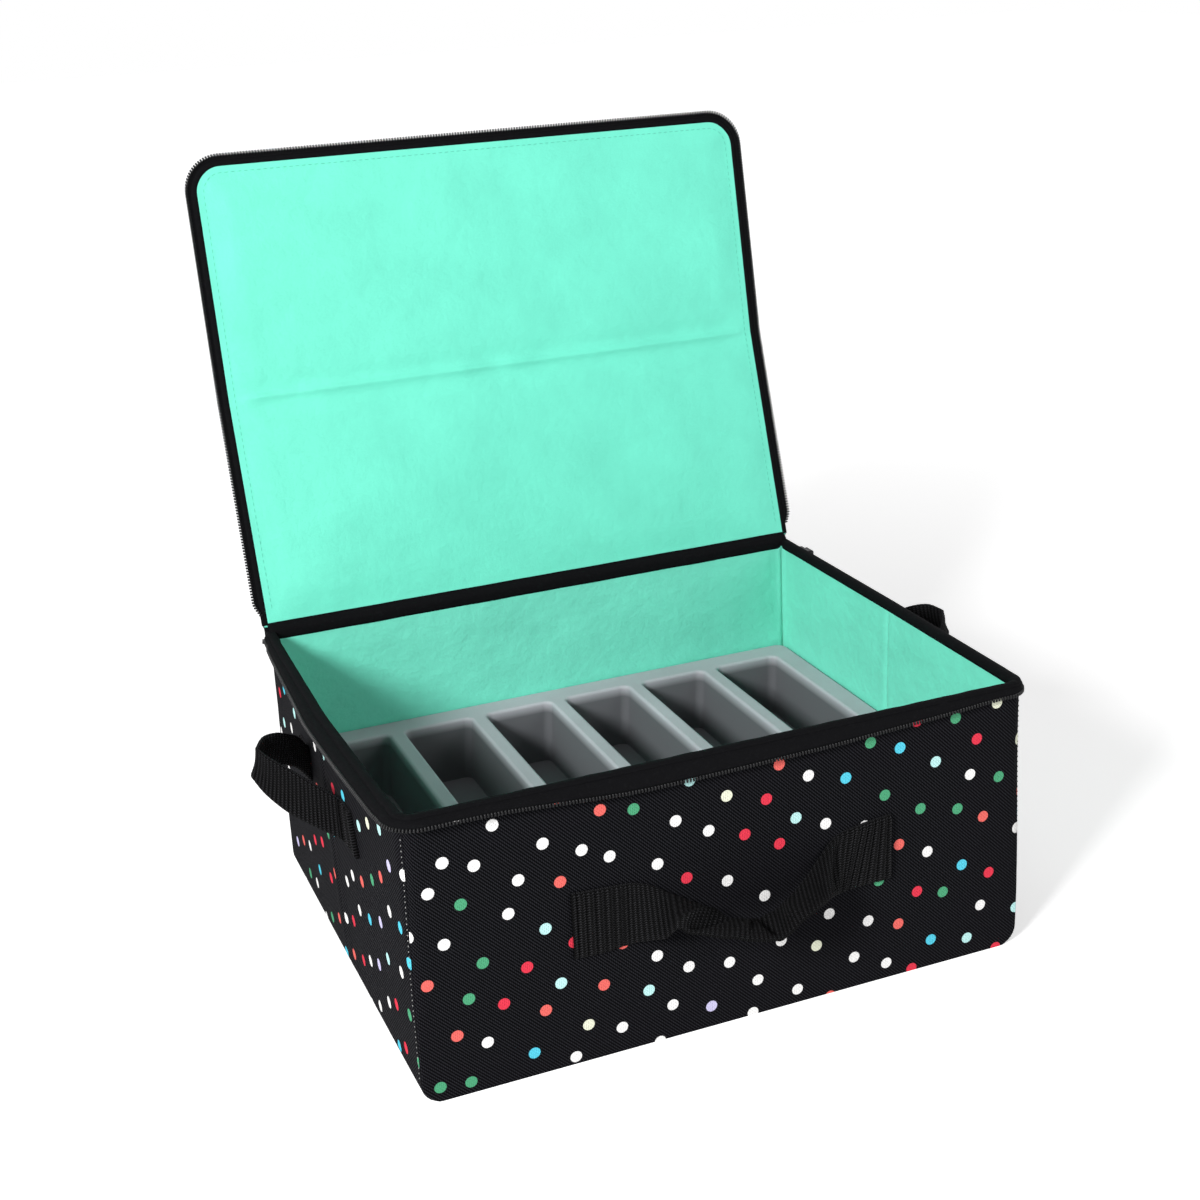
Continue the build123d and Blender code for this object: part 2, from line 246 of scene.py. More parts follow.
# Fibres, grain, lint and scuffs: one colour comes through another where a noise is high
mottle, start, end = new_group(
    "mottle",
    {
        "Vector": ["Place"],
        "Float": ["Scale", "Detail", "Roughness", "Low", "High", "Amount"],
        "Color": ["Under", "Over"],
    },
    {"Float": ["Height"], "Color": ["Colour"]},
)
height = noise(mottle, *(start[socket] for socket in ("Place", "Scale", "Detail", "Roughness")))
share = spread(mottle, height, start["Low"], start["High"], 0.0, start["Amount"])
mottle.links.new(height, end["Height"])
mottle.links.new(mix_colour(mottle, share, start["Under"], start["Over"]), end["Colour"])


def mottled(tree, where, under, over, scale, detail=3.0, roughness=0.5, low=0.0, high=1.0, amount=1.0):
    return use_group(
        tree, mottle, Place=where, Under=under, Over=over, Scale=scale, Detail=detail,
        Roughness=roughness, Low=low, High=high, Amount=amount,
    )


def linty(tree, where, cloth, lint, scale, detail, amount, roughness=0.6, low=0.55, high=0.9):
    """A cloth's colour with pale lint caught on it in places."""
    return mottled(tree, where, cloth, lint, scale, detail, roughness, low, high, amount)["Colour"]


def paint(tree, shader, colour):
    tree.links.new(colour, shader.inputs["Base Color"])


def bump(tree, shader, height, distance, strength=1.0, under=None):
    given = {"Strength": strength, "Distance": distance, "Height": height}
    if under is not None:
        given["Normal"] = under
    normal = add_node(tree, "Bump", given)[0]
    tree.links.new(normal, shader.inputs["Normal"])
    return normal


def frame_place(tree):
    """Place in the part's own frame, in metres."""
    return add_node(tree, "TexCoord")["Object"]


def dress_cad(node, material):
    """Gives a CAD node that stays as it is its material."""
    frame["nodes"][node].data.materials.clear()
    frame["nodes"][node].data.materials.append(material)


chipboard, tree, shader = new_material("chipboard", Roughness=0.9)
board_dark, board_light = (0.36, 0.31, 0.25), (0.52, 0.46, 0.38)
fibres = mottled(tree, frame_place(tree), board_dark, board_light, scale=900.0, detail=6.0)
paint(tree, shader, fibres["Colour"])
bump(tree, shader, fibres["Height"], distance=0.0002)

board_low, board_high = (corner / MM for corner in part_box("left_front_board"))
board_spans = {"front": (board_low.y, -fold_gap / 2), "rear": (fold_gap / 2, -board_low.y)}
for side, sign in left_right.items():
    x_low, x_high = sorted((sign * board_low.x, sign * board_high.x))
    for half, (y_low, y_high) in board_spans.items():
        node = f"{side}_{half}_board"
        points, faces = slab((x_low, y_low, corner_radius), (x_high, y_high, board_high.z))
        make_piece(f"{node}_bowed", settled(points), faces, chipboard, "case", (node,), False)

for side in front_back:
    node = f"{side}_board"
    low, high = (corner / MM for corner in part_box(node))
    points, faces = slab(low, high)
    points[:, 0] *= wall_reach(points[:, 2], cloth_thickness) / wall_reach(corner_radius, cloth_thickness)
    make_piece(f"{node}_rounded", settled(points), faces, chipboard, "case", (node,), False)
for node in ("base_board", "lid_rear_board", "lid_front_board"):
    dress_cad(node, chipboard)

# The outside is black polyester twill, printed with small round dots. Five pieces are sewn edge to
# edge round the boards, and each side piece also turns the case's rounded bottom corner.
twill_pitch = 0.0021
thread_ripple = 0.55
weave_reach = 1.1
dot_spacing = 0.0235
dot_radius = 0.0033
dot_edge = 0.00025
dot_scatter = 0.38
dot_turn = 27.0
ridge_sharpness = 2.2
ink_valley_shade = 0.14
cloth_valley_shade = (0.0003, 0.0003, 0.0006)
cloth_crest_highlight = (0.021, 0.021, 0.025)
cloth_lint_and_shade = (0.03, 0.03, 0.036)
ink_shares = (
    (0.0, (0.94, 0.93, 0.92)),
    (0.34, (0.78, 0.045, 0.08)),
    (0.52, (0.84, 0.15, 0.13)),
    (0.63, (0.08, 0.37, 0.19)),
    (0.75, (0.10, 0.62, 0.80)),
    (0.83, (0.52, 0.86, 0.84)),
    (0.92, (0.64, 0.60, 0.86)),
    (0.96, (0.84, 0.86, 0.68)),
)


def calc(tree, operation, a, b=0.0, c=0.0):
    return add_node(tree, "Math", {0: a, 1: b, 2: c}, operation=operation)[0]


def cloth_place(tree):
    """Place on the flat cloth, in metres."""
    return add_node(tree, "UVMap", uv_map="cloth")[0]


def parts_of(tree, vector):
    return add_node(tree, "SeparateXYZ", {0: vector})


def wave(tree, turns):
    """A sine of a number of whole turns."""
    return calc(tree, "SINE", calc(tree, "MULTIPLY", turns, 2 * pi))


# Diagonal ridges with the threads' own finer ripple along them, and their colour from valley to crest:
# painted shade in the valleys and a painted highlight on the crests
twill, start, end = new_group(
    "twill_weave",
    {"Vector": ["Place"], "Float": ["Pitch", "Sharpness"], "Color": ["Valley", "Crest"]},
    {"Float": ["Height"], "Color": ["Colour"]},
)
across, along = (calc(twill, "DIVIDE", part, start["Pitch"]) for part in parts_of(twill, start["Place"])[:2])
diagonal = wave(twill, calc(twill, "ADD", across, along))
threads = wave(twill, calc(twill, "MULTIPLY", across, 2.0))
woven = calc(twill, "MULTIPLY_ADD", threads, thread_ripple, diagonal)
height = spread(twill, woven, -weave_reach, weave_reach)
highlight_share = calc(twill, "POWER", height, start["Sharpness"])
twill.links.new(height, end["Height"])
twill.links.new(mix_colour(twill, highlight_share, start["Valley"], start["Crest"]), end["Colour"])

# Dots on a loosely kept grid, each in an ink of its own
dots, start, end = new_group(
    "round_dots",
    {"Vector": ["Place"], "Float": ["Spacing", "Radius"]},
    {"Float": ["Mask"], "Color": ["Colour"]},
)
turn = {"Vector": start["Place"], "Angle": radians(dot_turn)}
turned = add_node(dots, "VectorRotate", turn, rotation_type="Z_AXIS")[0]
per_metre = calc(dots, "DIVIDE", 1.0, start["Spacing"])
scatter = {"Vector": turned, "Scale": per_metre, "Randomness": dot_scatter}
cells = add_node(dots, "TexVoronoi", scatter, voronoi_dimensions="2D")
from_centre = calc(dots, "MULTIPLY", cells["Distance"], start["Spacing"])
inside = calc(dots, "DIVIDE", calc(dots, "SUBTRACT", start["Radius"], from_centre), dot_edge)
dots.links.new(spread(dots, inside, -0.5, 0.5), end["Mask"])
picked = add_node(dots, "TexWhiteNoise", {"Vector": cells["Color"]}, noise_dimensions="3D")["Value"]
inks = dots.nodes.new("ShaderNodeValToRGB")
inks.color_ramp.interpolation = "CONSTANT"
while len(inks.color_ramp.elements) < len(ink_shares):
    inks.color_ramp.elements.new(1.0)
for stop, (position, ink) in zip(inks.color_ramp.elements, ink_shares):
    stop.position = position
    stop.color = (*ink, 1)
dots.links.new(picked, inks.inputs[0])
dots.links.new(inks.outputs[0], end["Colour"])


def black_weave(tree, where):
    """The case's own black twill: its relief, and its colour with painted shade in the valleys and a painted
    highlight on the crests.
    """
    return use_group(
        tree, twill, Place=where, Pitch=twill_pitch, Sharpness=ridge_sharpness, Valley=cloth_valley_shade,
        Crest=cloth_crest_highlight,
    )


printed_twill, tree, shader = new_material("printed_twill", Roughness=0.95, Specular_IOR_Level=0.04)
where = cloth_place(tree)
weave = black_weave(tree, where)
print_on = use_group(tree, dots, Place=where, Spacing=dot_spacing, Radius=dot_radius)
fuzzy = linty(tree, where, weave["Colour"], cloth_lint_and_shade, scale=420.0, detail=4.0, amount=0.2)
# Painted shade: in the weave's valleys the dots' ink is darkened towards the cloth's dark lint grey
ink_shade_share = spread(tree, weave["Height"], 0.0, 1.0, ink_valley_shade, 0.0)
shaded_ink = mix_colour(tree, ink_shade_share, print_on["Colour"], cloth_lint_and_shade)
paint(tree, shader, mix_colour(tree, print_on["Mask"], fuzzy, shaded_ink))
bump(tree, shader, weave["Height"], distance=0.0003, strength=0.8)


def stacked(*parts):
    """Places from arrays of their x, y and so on, each as long as the longest."""
    return np.stack(np.broadcast_arrays(*parts), axis=-1).astype(float)


def lay_flat(piece, places):
    """Gives each point its place on the flat cloth, in millimetres. The print and the weave follow it."""
    layer = piece.data.uv_layers.new(name="cloth")
    places = places.reshape(-1, 2) * MM
    layer.data.foreach_set("uv", np.array([places[loop.vertex_index] for loop in piece.data.loops]).ravel())


def make_sheet(name, cloth, grid, flat, body, stands_for, facing):
    """A sheet of a cloth, which is its thickness, material and slot. It lies on a grid of points, each
    with its place on the flat cloth. facing is the way most of it faces; its
    thickness goes back."""
    thickness, material, slot = cloth
    rows, columns = grid.shape[:2]
    diagonals = (grid[1:, 1:] - grid[:-1, :-1], grid[1:, :-1] - grid[:-1, 1:])
    mean_normal = np.cross(*diagonals).sum(axis=(0, 1))
    faces = grid_faces(rows, columns, flip=bool(mean_normal @ np.array(facing) < 0))
    piece = make_piece(name, grid.reshape(-1, 3), faces, material, body, stands_for)
    lay_flat(piece, flat)
    shell = piece.modifiers.new("thickness", "SOLIDIFY")
    shell.thickness = thickness * MM
    shell.offset = -1.0
    return piece


def lengths_along(line):
    """Running length along a line of points, starting at 0."""
    return np.concatenate([[0], np.cumsum(np.linalg.norm(np.diff(line, axis=0), axis=1))])


ripple_finer, ripple_lengths, ripple_full = (1, 1, 1, 2, 2, 2, 4, 4, 4), (150, 260), 3.5


def ripple(a, b, seed, size=1.0):
    """A smooth low unevenness of cloth, from a few waves 40 to 260 mm long, in millimetres."""
    draw = np.random.default_rng(seed)
    height = np.zeros(np.broadcast(a, b).shape)
    for finer in ripple_finer:
        heading, phase = draw.uniform(0, 2 * pi, 2)
        number = finer * 2 * pi / draw.uniform(*ripple_lengths)
        height += np.sin(number * (a * cos(heading) + b * sin(heading)) + phase) / finer
    return size * height / ripple_full


def ridge(distance, width, height=1.0):
    """A rounded ridge across a line at distance 0."""
    return height * np.exp(-((distance / width) ** 2))


case_skin = (cloth_thickness, printed_twill, "printed_fabric")
skin_top = case_high.z / MM
corner_rows, wall_rows, wall_columns = 7, 48, 91
seam_round = 1.3
seam_turn = np.array([1.0, 0.5, 0.12])
seam_pull = np.array([0.0, 0.12, 0.5])
seam_lift_from = 0.5
wall_puff, wall_ripple = 0.5, 0.5
wall_calm = {"side": 30, "base": 30, "rim": 25}
corner_z = corner_radius * (1 - np.cos(np.linspace(0, pi / 2, corner_rows, endpoint=False)))
face_z = np.concatenate([corner_z, np.linspace(corner_radius, skin_top, wall_rows)])
x_share = np.concatenate([[-1, -1, -1], np.linspace(-1, 1, wall_columns), [1, 1, 1]])
turn_in = np.concatenate([seam_turn, np.zeros(wall_columns), seam_turn[::-1]]) * seam_round
pull_in = np.concatenate([seam_pull, np.ones(wall_columns), seam_pull[::-1]]) * seam_round
z = face_z[:, None]
x = x_share * (wall_reach(z) - (z > seam_lift_from) * pull_in)
calm = fade(half_width - np.abs(x), wall_calm["side"]) * fade(z, wall_calm["base"])
calm = calm * fade(skin_top - z, wall_calm["rim"])
for side, sign in front_back.items():
    out = half_depth - turn_in + (wall_puff + ripple(x, z, seed=3 + sign, size=wall_ripple)) * calm
    make_sheet(
        f"{side}_cloth", case_skin, settled(stacked(x, sign * out, z)), stacked(x, z),
        "case", (f"outer_{side}_panel",), (0, sign, 0),
    )

# A side piece, from the rim down the wall and round its bottom corner, as outward reach and height
side_rows, turn_rows, side_columns = 44, 9, 48
side_puff, side_ripple = 0.6, 0.6
side_calm = {"edge": 25, "rim": 20, "base": 40, "fold": 12}
# Width and height of the swells beside the fold, and of the groove at it
fold_swell_at, fold_swell, fold_groove = 6, (3.5, 0.5), (1.5, 0.7)
wall_line = [(half_width, z) for z in np.linspace(skin_top, corner_radius, side_rows)]
round_line = [
    (half_width - corner_radius + corner_radius * cos(a), corner_radius - corner_radius * sin(a))
    for a in np.linspace(0, pi / 2, turn_rows)[1:]
]
profile = np.array(wall_line + round_line)
run = lengths_along(profile)
skin_end = half_depth - cloth_thickness
side_y = np.linspace(-skin_end + seam_round, 0, side_columns)
side_y = np.concatenate([[-skin_end, -skin_end, -skin_end + 0.5], side_y])
side_y = np.concatenate([side_y, -side_y[-2::-1]])
side_turn = np.zeros(len(side_y))
side_turn[:3] = seam_turn * seam_round
side_turn[-3:] = side_turn[2::-1]
y, z = side_y[None, :], profile[:, 1:]
calm = fade(half_depth - np.abs(y), side_calm["edge"]) * fade(skin_top - z, side_calm["rim"])
calm = calm * fade(z, side_calm["base"])
fold_crease = ridge(np.abs(y) - fold_swell_at, *fold_swell) - ridge(y, *fold_groove)
for side, sign in left_right.items():
    rippled = ripple(y, z, seed=11 + sign, size=side_ripple) * fade(np.abs(y), side_calm["fold"])
    out = profile[:, :1] - side_turn + (side_puff + rippled + fold_crease) * calm
    make_sheet(
        f"{side}_cloth", case_skin, settled(stacked(sign * out, y, z)), stacked(y, -run[:, None]),
        "case", (f"outer_{side}_panel",), (sign, 0, 0),
    )

# At each front corner the seam of two pieces is topstitched from the side with pale polyester thread,
# a row of short stitches just behind the edge, from near the base to near the rim.
seam_stitch_length, seam_stitch_pitch, seam_stitch_radius = 0.9, 3.1, 0.24
seam_stitch_out, seam_stitch_in = 0.15, 2.6
seam_stitch_low, seam_stitch_high, seam_stations = 12.0, skin_top - 8, 60
thread_sides, thread_rings, thread_end_share = 6, 4, 0.4


def thread_material(name, roughness, dark, light):
    material, tree, shader = new_material(name, Roughness=roughness)
    strands = mottled(tree, frame_place(tree), dark, light, scale=2500.0, detail=2.0)
    paint(tree, shader, strands["Colour"])
    return material


def stitch_row(line, length, pitch, radius):
    """Points and faces of stitches, each a short thread that dips at both ends, along a line."""
    run = lengths_along(line)
    points, faces = [], []
    for s in np.arange(pitch, run[-1] - pitch, pitch):
        here, ahead = (
            np.array([np.interp(at, run, line[:, k]) for k in range(3)]) for at in (s, s + length)
        )
        way = (ahead - here) / np.linalg.norm(ahead - here)
        side_way = np.cross(way, (0, 0, 1) if abs(way[2]) < 0.9 else (1, 0, 0))
        side_way /= np.linalg.norm(side_way)
        up_way = np.cross(side_way, way)
        start = len(points)
        for share in np.linspace(0, 1, thread_rings):
            size = radius * (thread_end_share if share in (0, 1) else 1.0)
            for a in np.arange(thread_sides) * 2 * pi / thread_sides:
                points.append(here + (ahead - here) * share + size * (cos(a) * side_way + sin(a) * up_way))
        faces += grid_faces(thread_rings, thread_sides, start, closed=True)
    return np.array(points), faces


pale_thread = thread_material("pale_thread", 0.7, (0.10, 0.10, 0.10), (0.5, 0.5, 0.48))
seam_z = np.linspace(seam_stitch_low, seam_stitch_high, seam_stations)
seam_points, seam_faces = [], []
for sign in (-1, 1):
    line = settled(stacked(sign * (half_width + seam_stitch_out), -half_depth + seam_stitch_in, seam_z))
    points, faces = stitch_row(line, seam_stitch_length, seam_stitch_pitch, seam_stitch_radius)
    seam_faces += [[index + len(seam_points) for index in face] for face in faces]
    seam_points += points.tolist()
make_piece("corner_seam_stitches", seam_points, seam_faces, pale_thread, "case")

# The bottom is one rectangle of the same black twill, left plain. It is sewn to the four sides round
# its edge, and the case stands on it.
plain_cloth, tree, shader = new_material("plain_black_cloth", Roughness=0.85)
where = frame_place(tree)
weave = black_weave(tree, where)
paint(tree, shader, linty(tree, where, weave["Colour"], cloth_lint_and_shade, scale=500.0, detail=5.0, amount=0.3))
bump(tree, shader, weave["Height"], distance=0.0002)
dress_cad("outer_bottom_panel", plain_cloth)

# The inside is thin smooth mint polyester, glued over the boards: four walls and a bottom sheet. It
# wrinkles a little, and creases down the middle of each side, where the wall folds.
liner_thickness = 0.4
liner_puff = 0.8
liner_y = half_depth - cloth_thickness - board_thickness
liner_x = half_width - cloth_thickness - board_thickness
liner_corner_gap = 3.1
liner_low, liner_top = 3.2, 161.0
liner_rows, liner_columns = 60, 120
liner_calm = {"edge": 20, "rim": 15}
liner_ripple, liner_wrinkle = 0.5, 0.45
wrinkle_pitch, wander_pitch, wander = 17, 33, 1.5
wrinkle_x, wrinkle_reach, wrinkle_low, wrinkle_fade = -20, 90, 70, 60
side_liner_ripple, side_liner_crease = 0.35, 0.7
# Width and height of the side lining's groove at the fold, and of the swells beside it
side_groove, side_swell_at, side_swell = (1.3, 1.0), 4.5, (2.4, 0.6)
side_liner_low = corner_radius - 2
mint_pitch = 0.0007
mint_valley_shade, mint_valley_shade_share = (0.02, 0.2, 0.14), 0.05
mint_paler, mint_deeper = 1.03, 0.93
wall_mint_colour = (0.18, 0.74, 0.565)


def mint_cloth(name, wrinkle, colour):
    """Smooth thin cloth, a little blotchy, with a fine weave and soft creases. The weave's valleys are
    painted darker: painted shade.
    """
    material, tree, shader = new_material(
        name, Roughness=0.55, Specular_IOR_Level=0.3, Sheen_Weight=0.12, Sheen_Roughness=0.4
    )
    where = cloth_place(tree)
    weave = use_group(tree, twill, Place=where, Pitch=mint_pitch)["Height"]
    paler, deeper = (tuple(share * c for c in colour) for share in (mint_paler, mint_deeper))
    blotchy = mottled(tree, where, deeper, paler, scale=22.0, detail=4.0, roughness=0.55, low=0.3, high=0.7)
    # Painted shade: the weave's valleys are painted darker towards a deep mint
    valley_shade = spread(tree, weave, 0.0, 1.0, mint_valley_shade_share, 0.0)
    paint(tree, shader, mix_colour(tree, valley_shade, blotchy["Colour"], mint_valley_shade))
    fine = bump(tree, shader, weave, distance=0.0001, strength=0.6)
    creases = noise(tree, where, scale=34.0, detail=5.0, roughness=0.6)
    bump(tree, shader, creases, wrinkle, 0.5, fine)
    return material


wall_mint = mint_cloth("mint_wall_lining", 0.004, wall_mint_colour)
wall_liner = (liner_thickness, wall_mint, "mint_lining")
z = np.linspace(liner_low, liner_top, liner_rows)[:, None]
x = np.linspace(-1, 1, liner_columns) * np.minimum(wall_reach(z) - liner_corner_gap, liner_x)
calm = fade(liner_x - np.abs(x), liner_calm["edge"]) * fade(liner_top - z, liner_calm["rim"])
# Upright wrinkles, wandering as they go down, left of the middle and only in the upper half
waves = np.sin(x / wrinkle_pitch + wander * np.sin(z / wander_pitch))
waves = waves * ridge(x - wrinkle_x, wrinkle_reach) * fade(z - wrinkle_low, wrinkle_fade)
for side, sign in front_back.items():
    rippled = liner_ripple * (ripple(x, z, seed=21 + sign) + 1)
    puff = liner_puff + (rippled + liner_wrinkle * waves) * calm
    make_sheet(
        f"{side}_lining", wall_liner, settled(stacked(x, sign * (liner_y - puff), z)), stacked(x, z),
        "case", (f"lining_{side}",), (0, -sign, 0),
    )

# Columns every half millimetre near the fold
y = np.concatenate([np.linspace(-liner_y, -4, 50), np.linspace(-3, 3, 13), np.linspace(4, liner_y, 50)])
z = np.linspace(side_liner_low, liner_top, liner_rows)[:, None]
crease = ridge(y, *side_groove) - ridge(np.abs(y) - side_swell_at, *side_swell)
calm = fade(liner_y - np.abs(y), liner_calm["edge"]) * fade(liner_top - z, liner_calm["rim"])
for side, sign in left_right.items():
    rippled = side_liner_ripple * (ripple(y, z, seed=31 + sign) + 1) * calm
    puff = liner_puff + rippled - side_liner_crease * crease
    make_sheet(
        f"{side}_lining", wall_liner, settled(stacked(sign * (liner_x - puff), y, z)), stacked(y, z),
        "case", (f"lining_{side}",), (-sign, 0, 0),
    )

floor_x, floor_y, floor_z = 167.0, liner_y - 1.0, 3.1
floor_rows, floor_columns = 50, 60
x = np.linspace(-floor_x, floor_x, floor_columns)[None, :]
y = np.linspace(-floor_y, floor_y, floor_rows)[:, None]
make_sheet(
    "bottom_lining", wall_liner, stacked(x, y, floor_z), stacked(x, y), "case",
    ("lining_bottom",), (0, 0, 1),
)

# The tray is one grey plastic sheet, thermoformed into six long drafted pockets, with a soft matt
# skin. It stands on its own skirt on the bottom lining, and lifts out.
tray_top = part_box("punch_tray")[1].z
pocket_shade_from, pocket_shade_to = 0.0006, 0.007
skin_dark, skin_pale, skin_grain = (0.34, 0.35, 0.375), (0.41, 0.42, 0.45), (0.52, 0.535, 0.565)
pocket_shade_colour = (0.105, 0.11, 0.118)
flocked, tree, shader = new_material("grey_tray", Roughness=0.85, Specular_IOR_Level=0.25)
where = frame_place(tree)
cloudy = mottled(tree, where, skin_dark, skin_pale, scale=16.0, detail=4.0, low=0.3, high=0.7)
grainy = mottled(
    tree, where, cloudy["Colour"], skin_grain, scale=1900.0, detail=4.0, roughness=0.7, low=0.3, high=0.75,
    amount=0.35,
)
# Painted shade in the pockets: below their rims the grey is painted darker with depth, down to a near-black
# grey
pocket_shade_share = spread(tree, parts_of(tree, where)[2], tray_top - pocket_shade_from, tray_top - pocket_shade_to)
paint(tree, shader, mix_colour(tree, pocket_shade_share, grainy["Colour"], pocket_shade_colour))
fine = bump(tree, shader, grainy["Height"], distance=0.00025, strength=0.7)
bump(tree, shader, cloudy["Height"], 0.002, 0.3, fine)
dress_cad("punch_tray", flocked)

# The handles are black herringbone webbing, folded under at both ends and sewn flat to the wall with
# rows of stitches: 38 mm wide on the front, where the strap sags and twists, and 25 mm on the sides.
front_web_width = 38.0
side_web_width = 25.0
web_thickness = 1.8
web_gap = 0.2
rib_pitch = 2.6
rib_height = 0.45
rib_roundness = 0.6
rib_behind = 0.6
course_pitch = 1.5
hem_thickness = 0.9
hem_margin = 2.5
hem_step = 0.4
stitch_rows = 6
stitch_depth = 1.1
stitch_width = 0.8
web_columns = 33
web_edge, web_edge_thin = 0.05, 0.25
crease_ends = (0.08, 0.92)
warp_count, warp_height = 17, 0.12
web_groove_shade, web_rib_highlight, web_lint = (0.0002, 0.0002, 0.0003), (0.045, 0.045, 0.049), (0.03, 0.03, 0.032)

webbing, tree, shader = new_material("black_webbing", Roughness=0.85, Specular_IOR_Level=0.08)
where = cloth_place(tree)
along, across = parts_of(tree, where)[:2]
wale = calc(tree, "PINGPONG", calc(tree, "DIVIDE", along, rib_pitch * MM), 0.5)
course = calc(tree, "DIVIDE", across, course_pitch * MM)
strand = wave(tree, calc(tree, "MULTIPLY_ADD", wale, 1.3, course))
relief = calc(tree, "MULTIPLY_ADD", wale, 3.0, calc(tree, "MULTIPLY", strand, 0.75))
# Painted light: the colour follows the relief, lighter on the ribs as a painted highlight and near black in
# the grooves as painted shade
painted_rib_light = mix_colour(tree, spread(tree, relief, 0.4, 2.2), web_groove_shade, web_rib_highlight)
fuzzy = linty(tree, where, painted_rib_light, web_lint, scale=700.0, detail=4.0, amount=0.25, low=0.6, high=0.95)
paint(tree, shader, fuzzy)
bump(tree, shader, relief, distance=0.0012)


def smooth_line(stations, count):
    """A smooth curve through stations, as count points with even steps of the stations' number."""
    stations = np.array(stations, float)
    ends = np.vstack([2 * stations[0] - stations[1], stations, 2 * stations[-1] - stations[-2]])
    line = []
    for t in np.linspace(0, len(stations) - 1 - 1e-9, count):
        i, f = int(t), t - int(t)
        a, b, c, d = ends[i : i + 4]
        bent = (2 * a - 5 * b + 4 * c - d) * f * f + (3 * b - a - 3 * c + d) * f**3
        line.append(0.5 * (2 * b + (c - a) * f + bent))
    return np.array(line)


def web_strap(name, top, low, width, belly, sewn_length, sewn_first, stands_for, creases=()):
    """Half a strap, as webbing between two edge lines, ribbed across and cupped by belly at its free
    end. Over sewn_length at one end it is doubled into a hem with rows of stitches. A crease is the
    place along its top edge and its low edge, its height and its breadth."""
    length = lengths_along((np.array(top, float) + np.array(low, float)) / 2)[-1]
    count = int(length * 5 / rib_pitch)
    top, low = smooth_line(top, count), smooth_line(low, count)
    run = lengths_along((top + low) / 2)
    from_sewn_end = run if sewn_first else run[-1] - run
    travel = np.gradient((top + low) / 2, run, axis=0)
    normal = np.cross(low - top, travel)
    normal /= np.linalg.norm(normal, axis=1)[:, None]
    rib = rib_height * np.abs(np.sin(pi * run / rib_pitch)) ** rib_roundness
    doubled = hem_thickness * (1 - smooth_step(from_sewn_end, sewn_length - hem_step, sewn_length + hem_step))
    stitched = np.zeros(len(run))
    for row in np.linspace(hem_margin, sewn_length - hem_margin, stitch_rows):
        stitched += ridge(from_sewn_end - row, stitch_width, stitch_depth)
    shares = np.linspace(0, 1, web_columns)
    crease_swell = np.sin(pi * np.clip(shares, *crease_ends))
    creased = np.zeros((len(run), len(shares)))
    for top_run, low_run, height, breadth in creases:
        line = top_run + (low_run - top_run) * shares
        creased += ridge(run[:, None] - line[None, :], breadth, height) * crease_swell
    edge = np.clip(np.minimum(shares, 1 - shares) / web_edge, web_edge_thin, 1) ** 0.5
    warps = warp_height * np.sin(2 * pi * shares * warp_count)
    across_place = np.concatenate([shares, shares[::-1]]) * width
    rings = []
    for i in range(len(run)):
        cup = belly * smooth_step(from_sewn_end[i], sewn_length, run[-1])
        lift = 4 * cup * shares * (1 - shares) + creased[i]
        middle = top[i] + shares[:, None] * (low[i] - top[i]) + lift[:, None] * normal[i]
        front = (web_thickness / 2 + rib[i] - stitched[i] + warps + doubled[i]) * edge
        back = (web_thickness / 2 + rib_behind * rib[i]) * edge
        faced, backed = middle + front[:, None] * normal[i], middle - back[:, None] * normal[i]
        rings.append(np.vstack([faced, backed[::-1]]))
    rows, columns = len(rings), 2 * len(shares)
    faces = grid_faces(rows, columns, closed=True)
    faces += [list(range(columns))[::-1], [(rows - 1) * columns + c for c in range(columns)]]
    piece = make_piece(name, np.concatenate(rings), faces, webbing, None, stands_for)
    lay_flat(piece, stacked(run[:, None], across_place))
    return piece


# The front strap's edges, from its left sewn end to the middle and on to the right sewn end: along the
# front, how far it stands out from the wall, and height. A fold runs down its lowest part.
wall_face = half_depth + web_gap + web_thickness / 2
front_sewn = 30.0
front_belly = 1.5
front_middle = ((2, 6, 65), (-10, 36, 72))
front_left_top = (
    (-93.5, 0, 102.8), (-78, 0, 101.8), (-62, 0, 100.6), (-52, 0.7, 98), (-44, 1.5, 93.5), (-37, 2, 88.5),
    (-26, 3, 81.5), (-12, 4.7, 72.5), front_middle[0],
)
front_left_low = (
    (-93.5, 0, 64.5), (-78, 0, 64), (-62, 0, 65), (-52, 6, 67.5), (-46, 12, 70.5), (-41, 17, 77.5),
    (-35, 22, 76), (-24, 29, 74), front_middle[1],
)
front_right_top = (
    front_middle[0], (14, 5, 64), (26, 4, 67), (38, 3, 77), (48, 2, 88), (60, 0, 98), (76, 0, 102),
    (94, 0, 104),
)
front_right_low = (
    front_middle[1], (2, 37, 69.5), (14, 35, 69.5), (28, 32, 75), (42, 24, 75.5), (53, 14, 71), (66, 2, 65),
    (94, 0, 64.5),
)
left_creases = ((79, 52, 4.4, 3.0), (88, 63, -6.5, 5.0), (104, 88, 2.5, 4.0))
right_creases = ((8, 18, -4.6, 3.5), (26, 34, 3.4, 5.0), (46, 54, -2.6, 4.0), (70, 66, -3.8, 3.5))
front_halves = (
    ("left", front_left_top, front_left_low, True, (-62, -40), left_creases),
    ("right", front_right_top, front_right_low, False, (64, 42), right_creases),
)
for half, top, low, sewn_first, (fixed_x, free_x), creases in front_halves:
    top, low = ([(x, -wall_face - out, z) for x, out, z in line] for line in (top, low))
    strap = web_strap(
        f"front_handle_{half}_half", top, low, front_web_width, front_belly, front_sewn, sewn_first,
        ("front_handle_strap", "front_handle_ends"), creases,
    )
    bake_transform(strap)

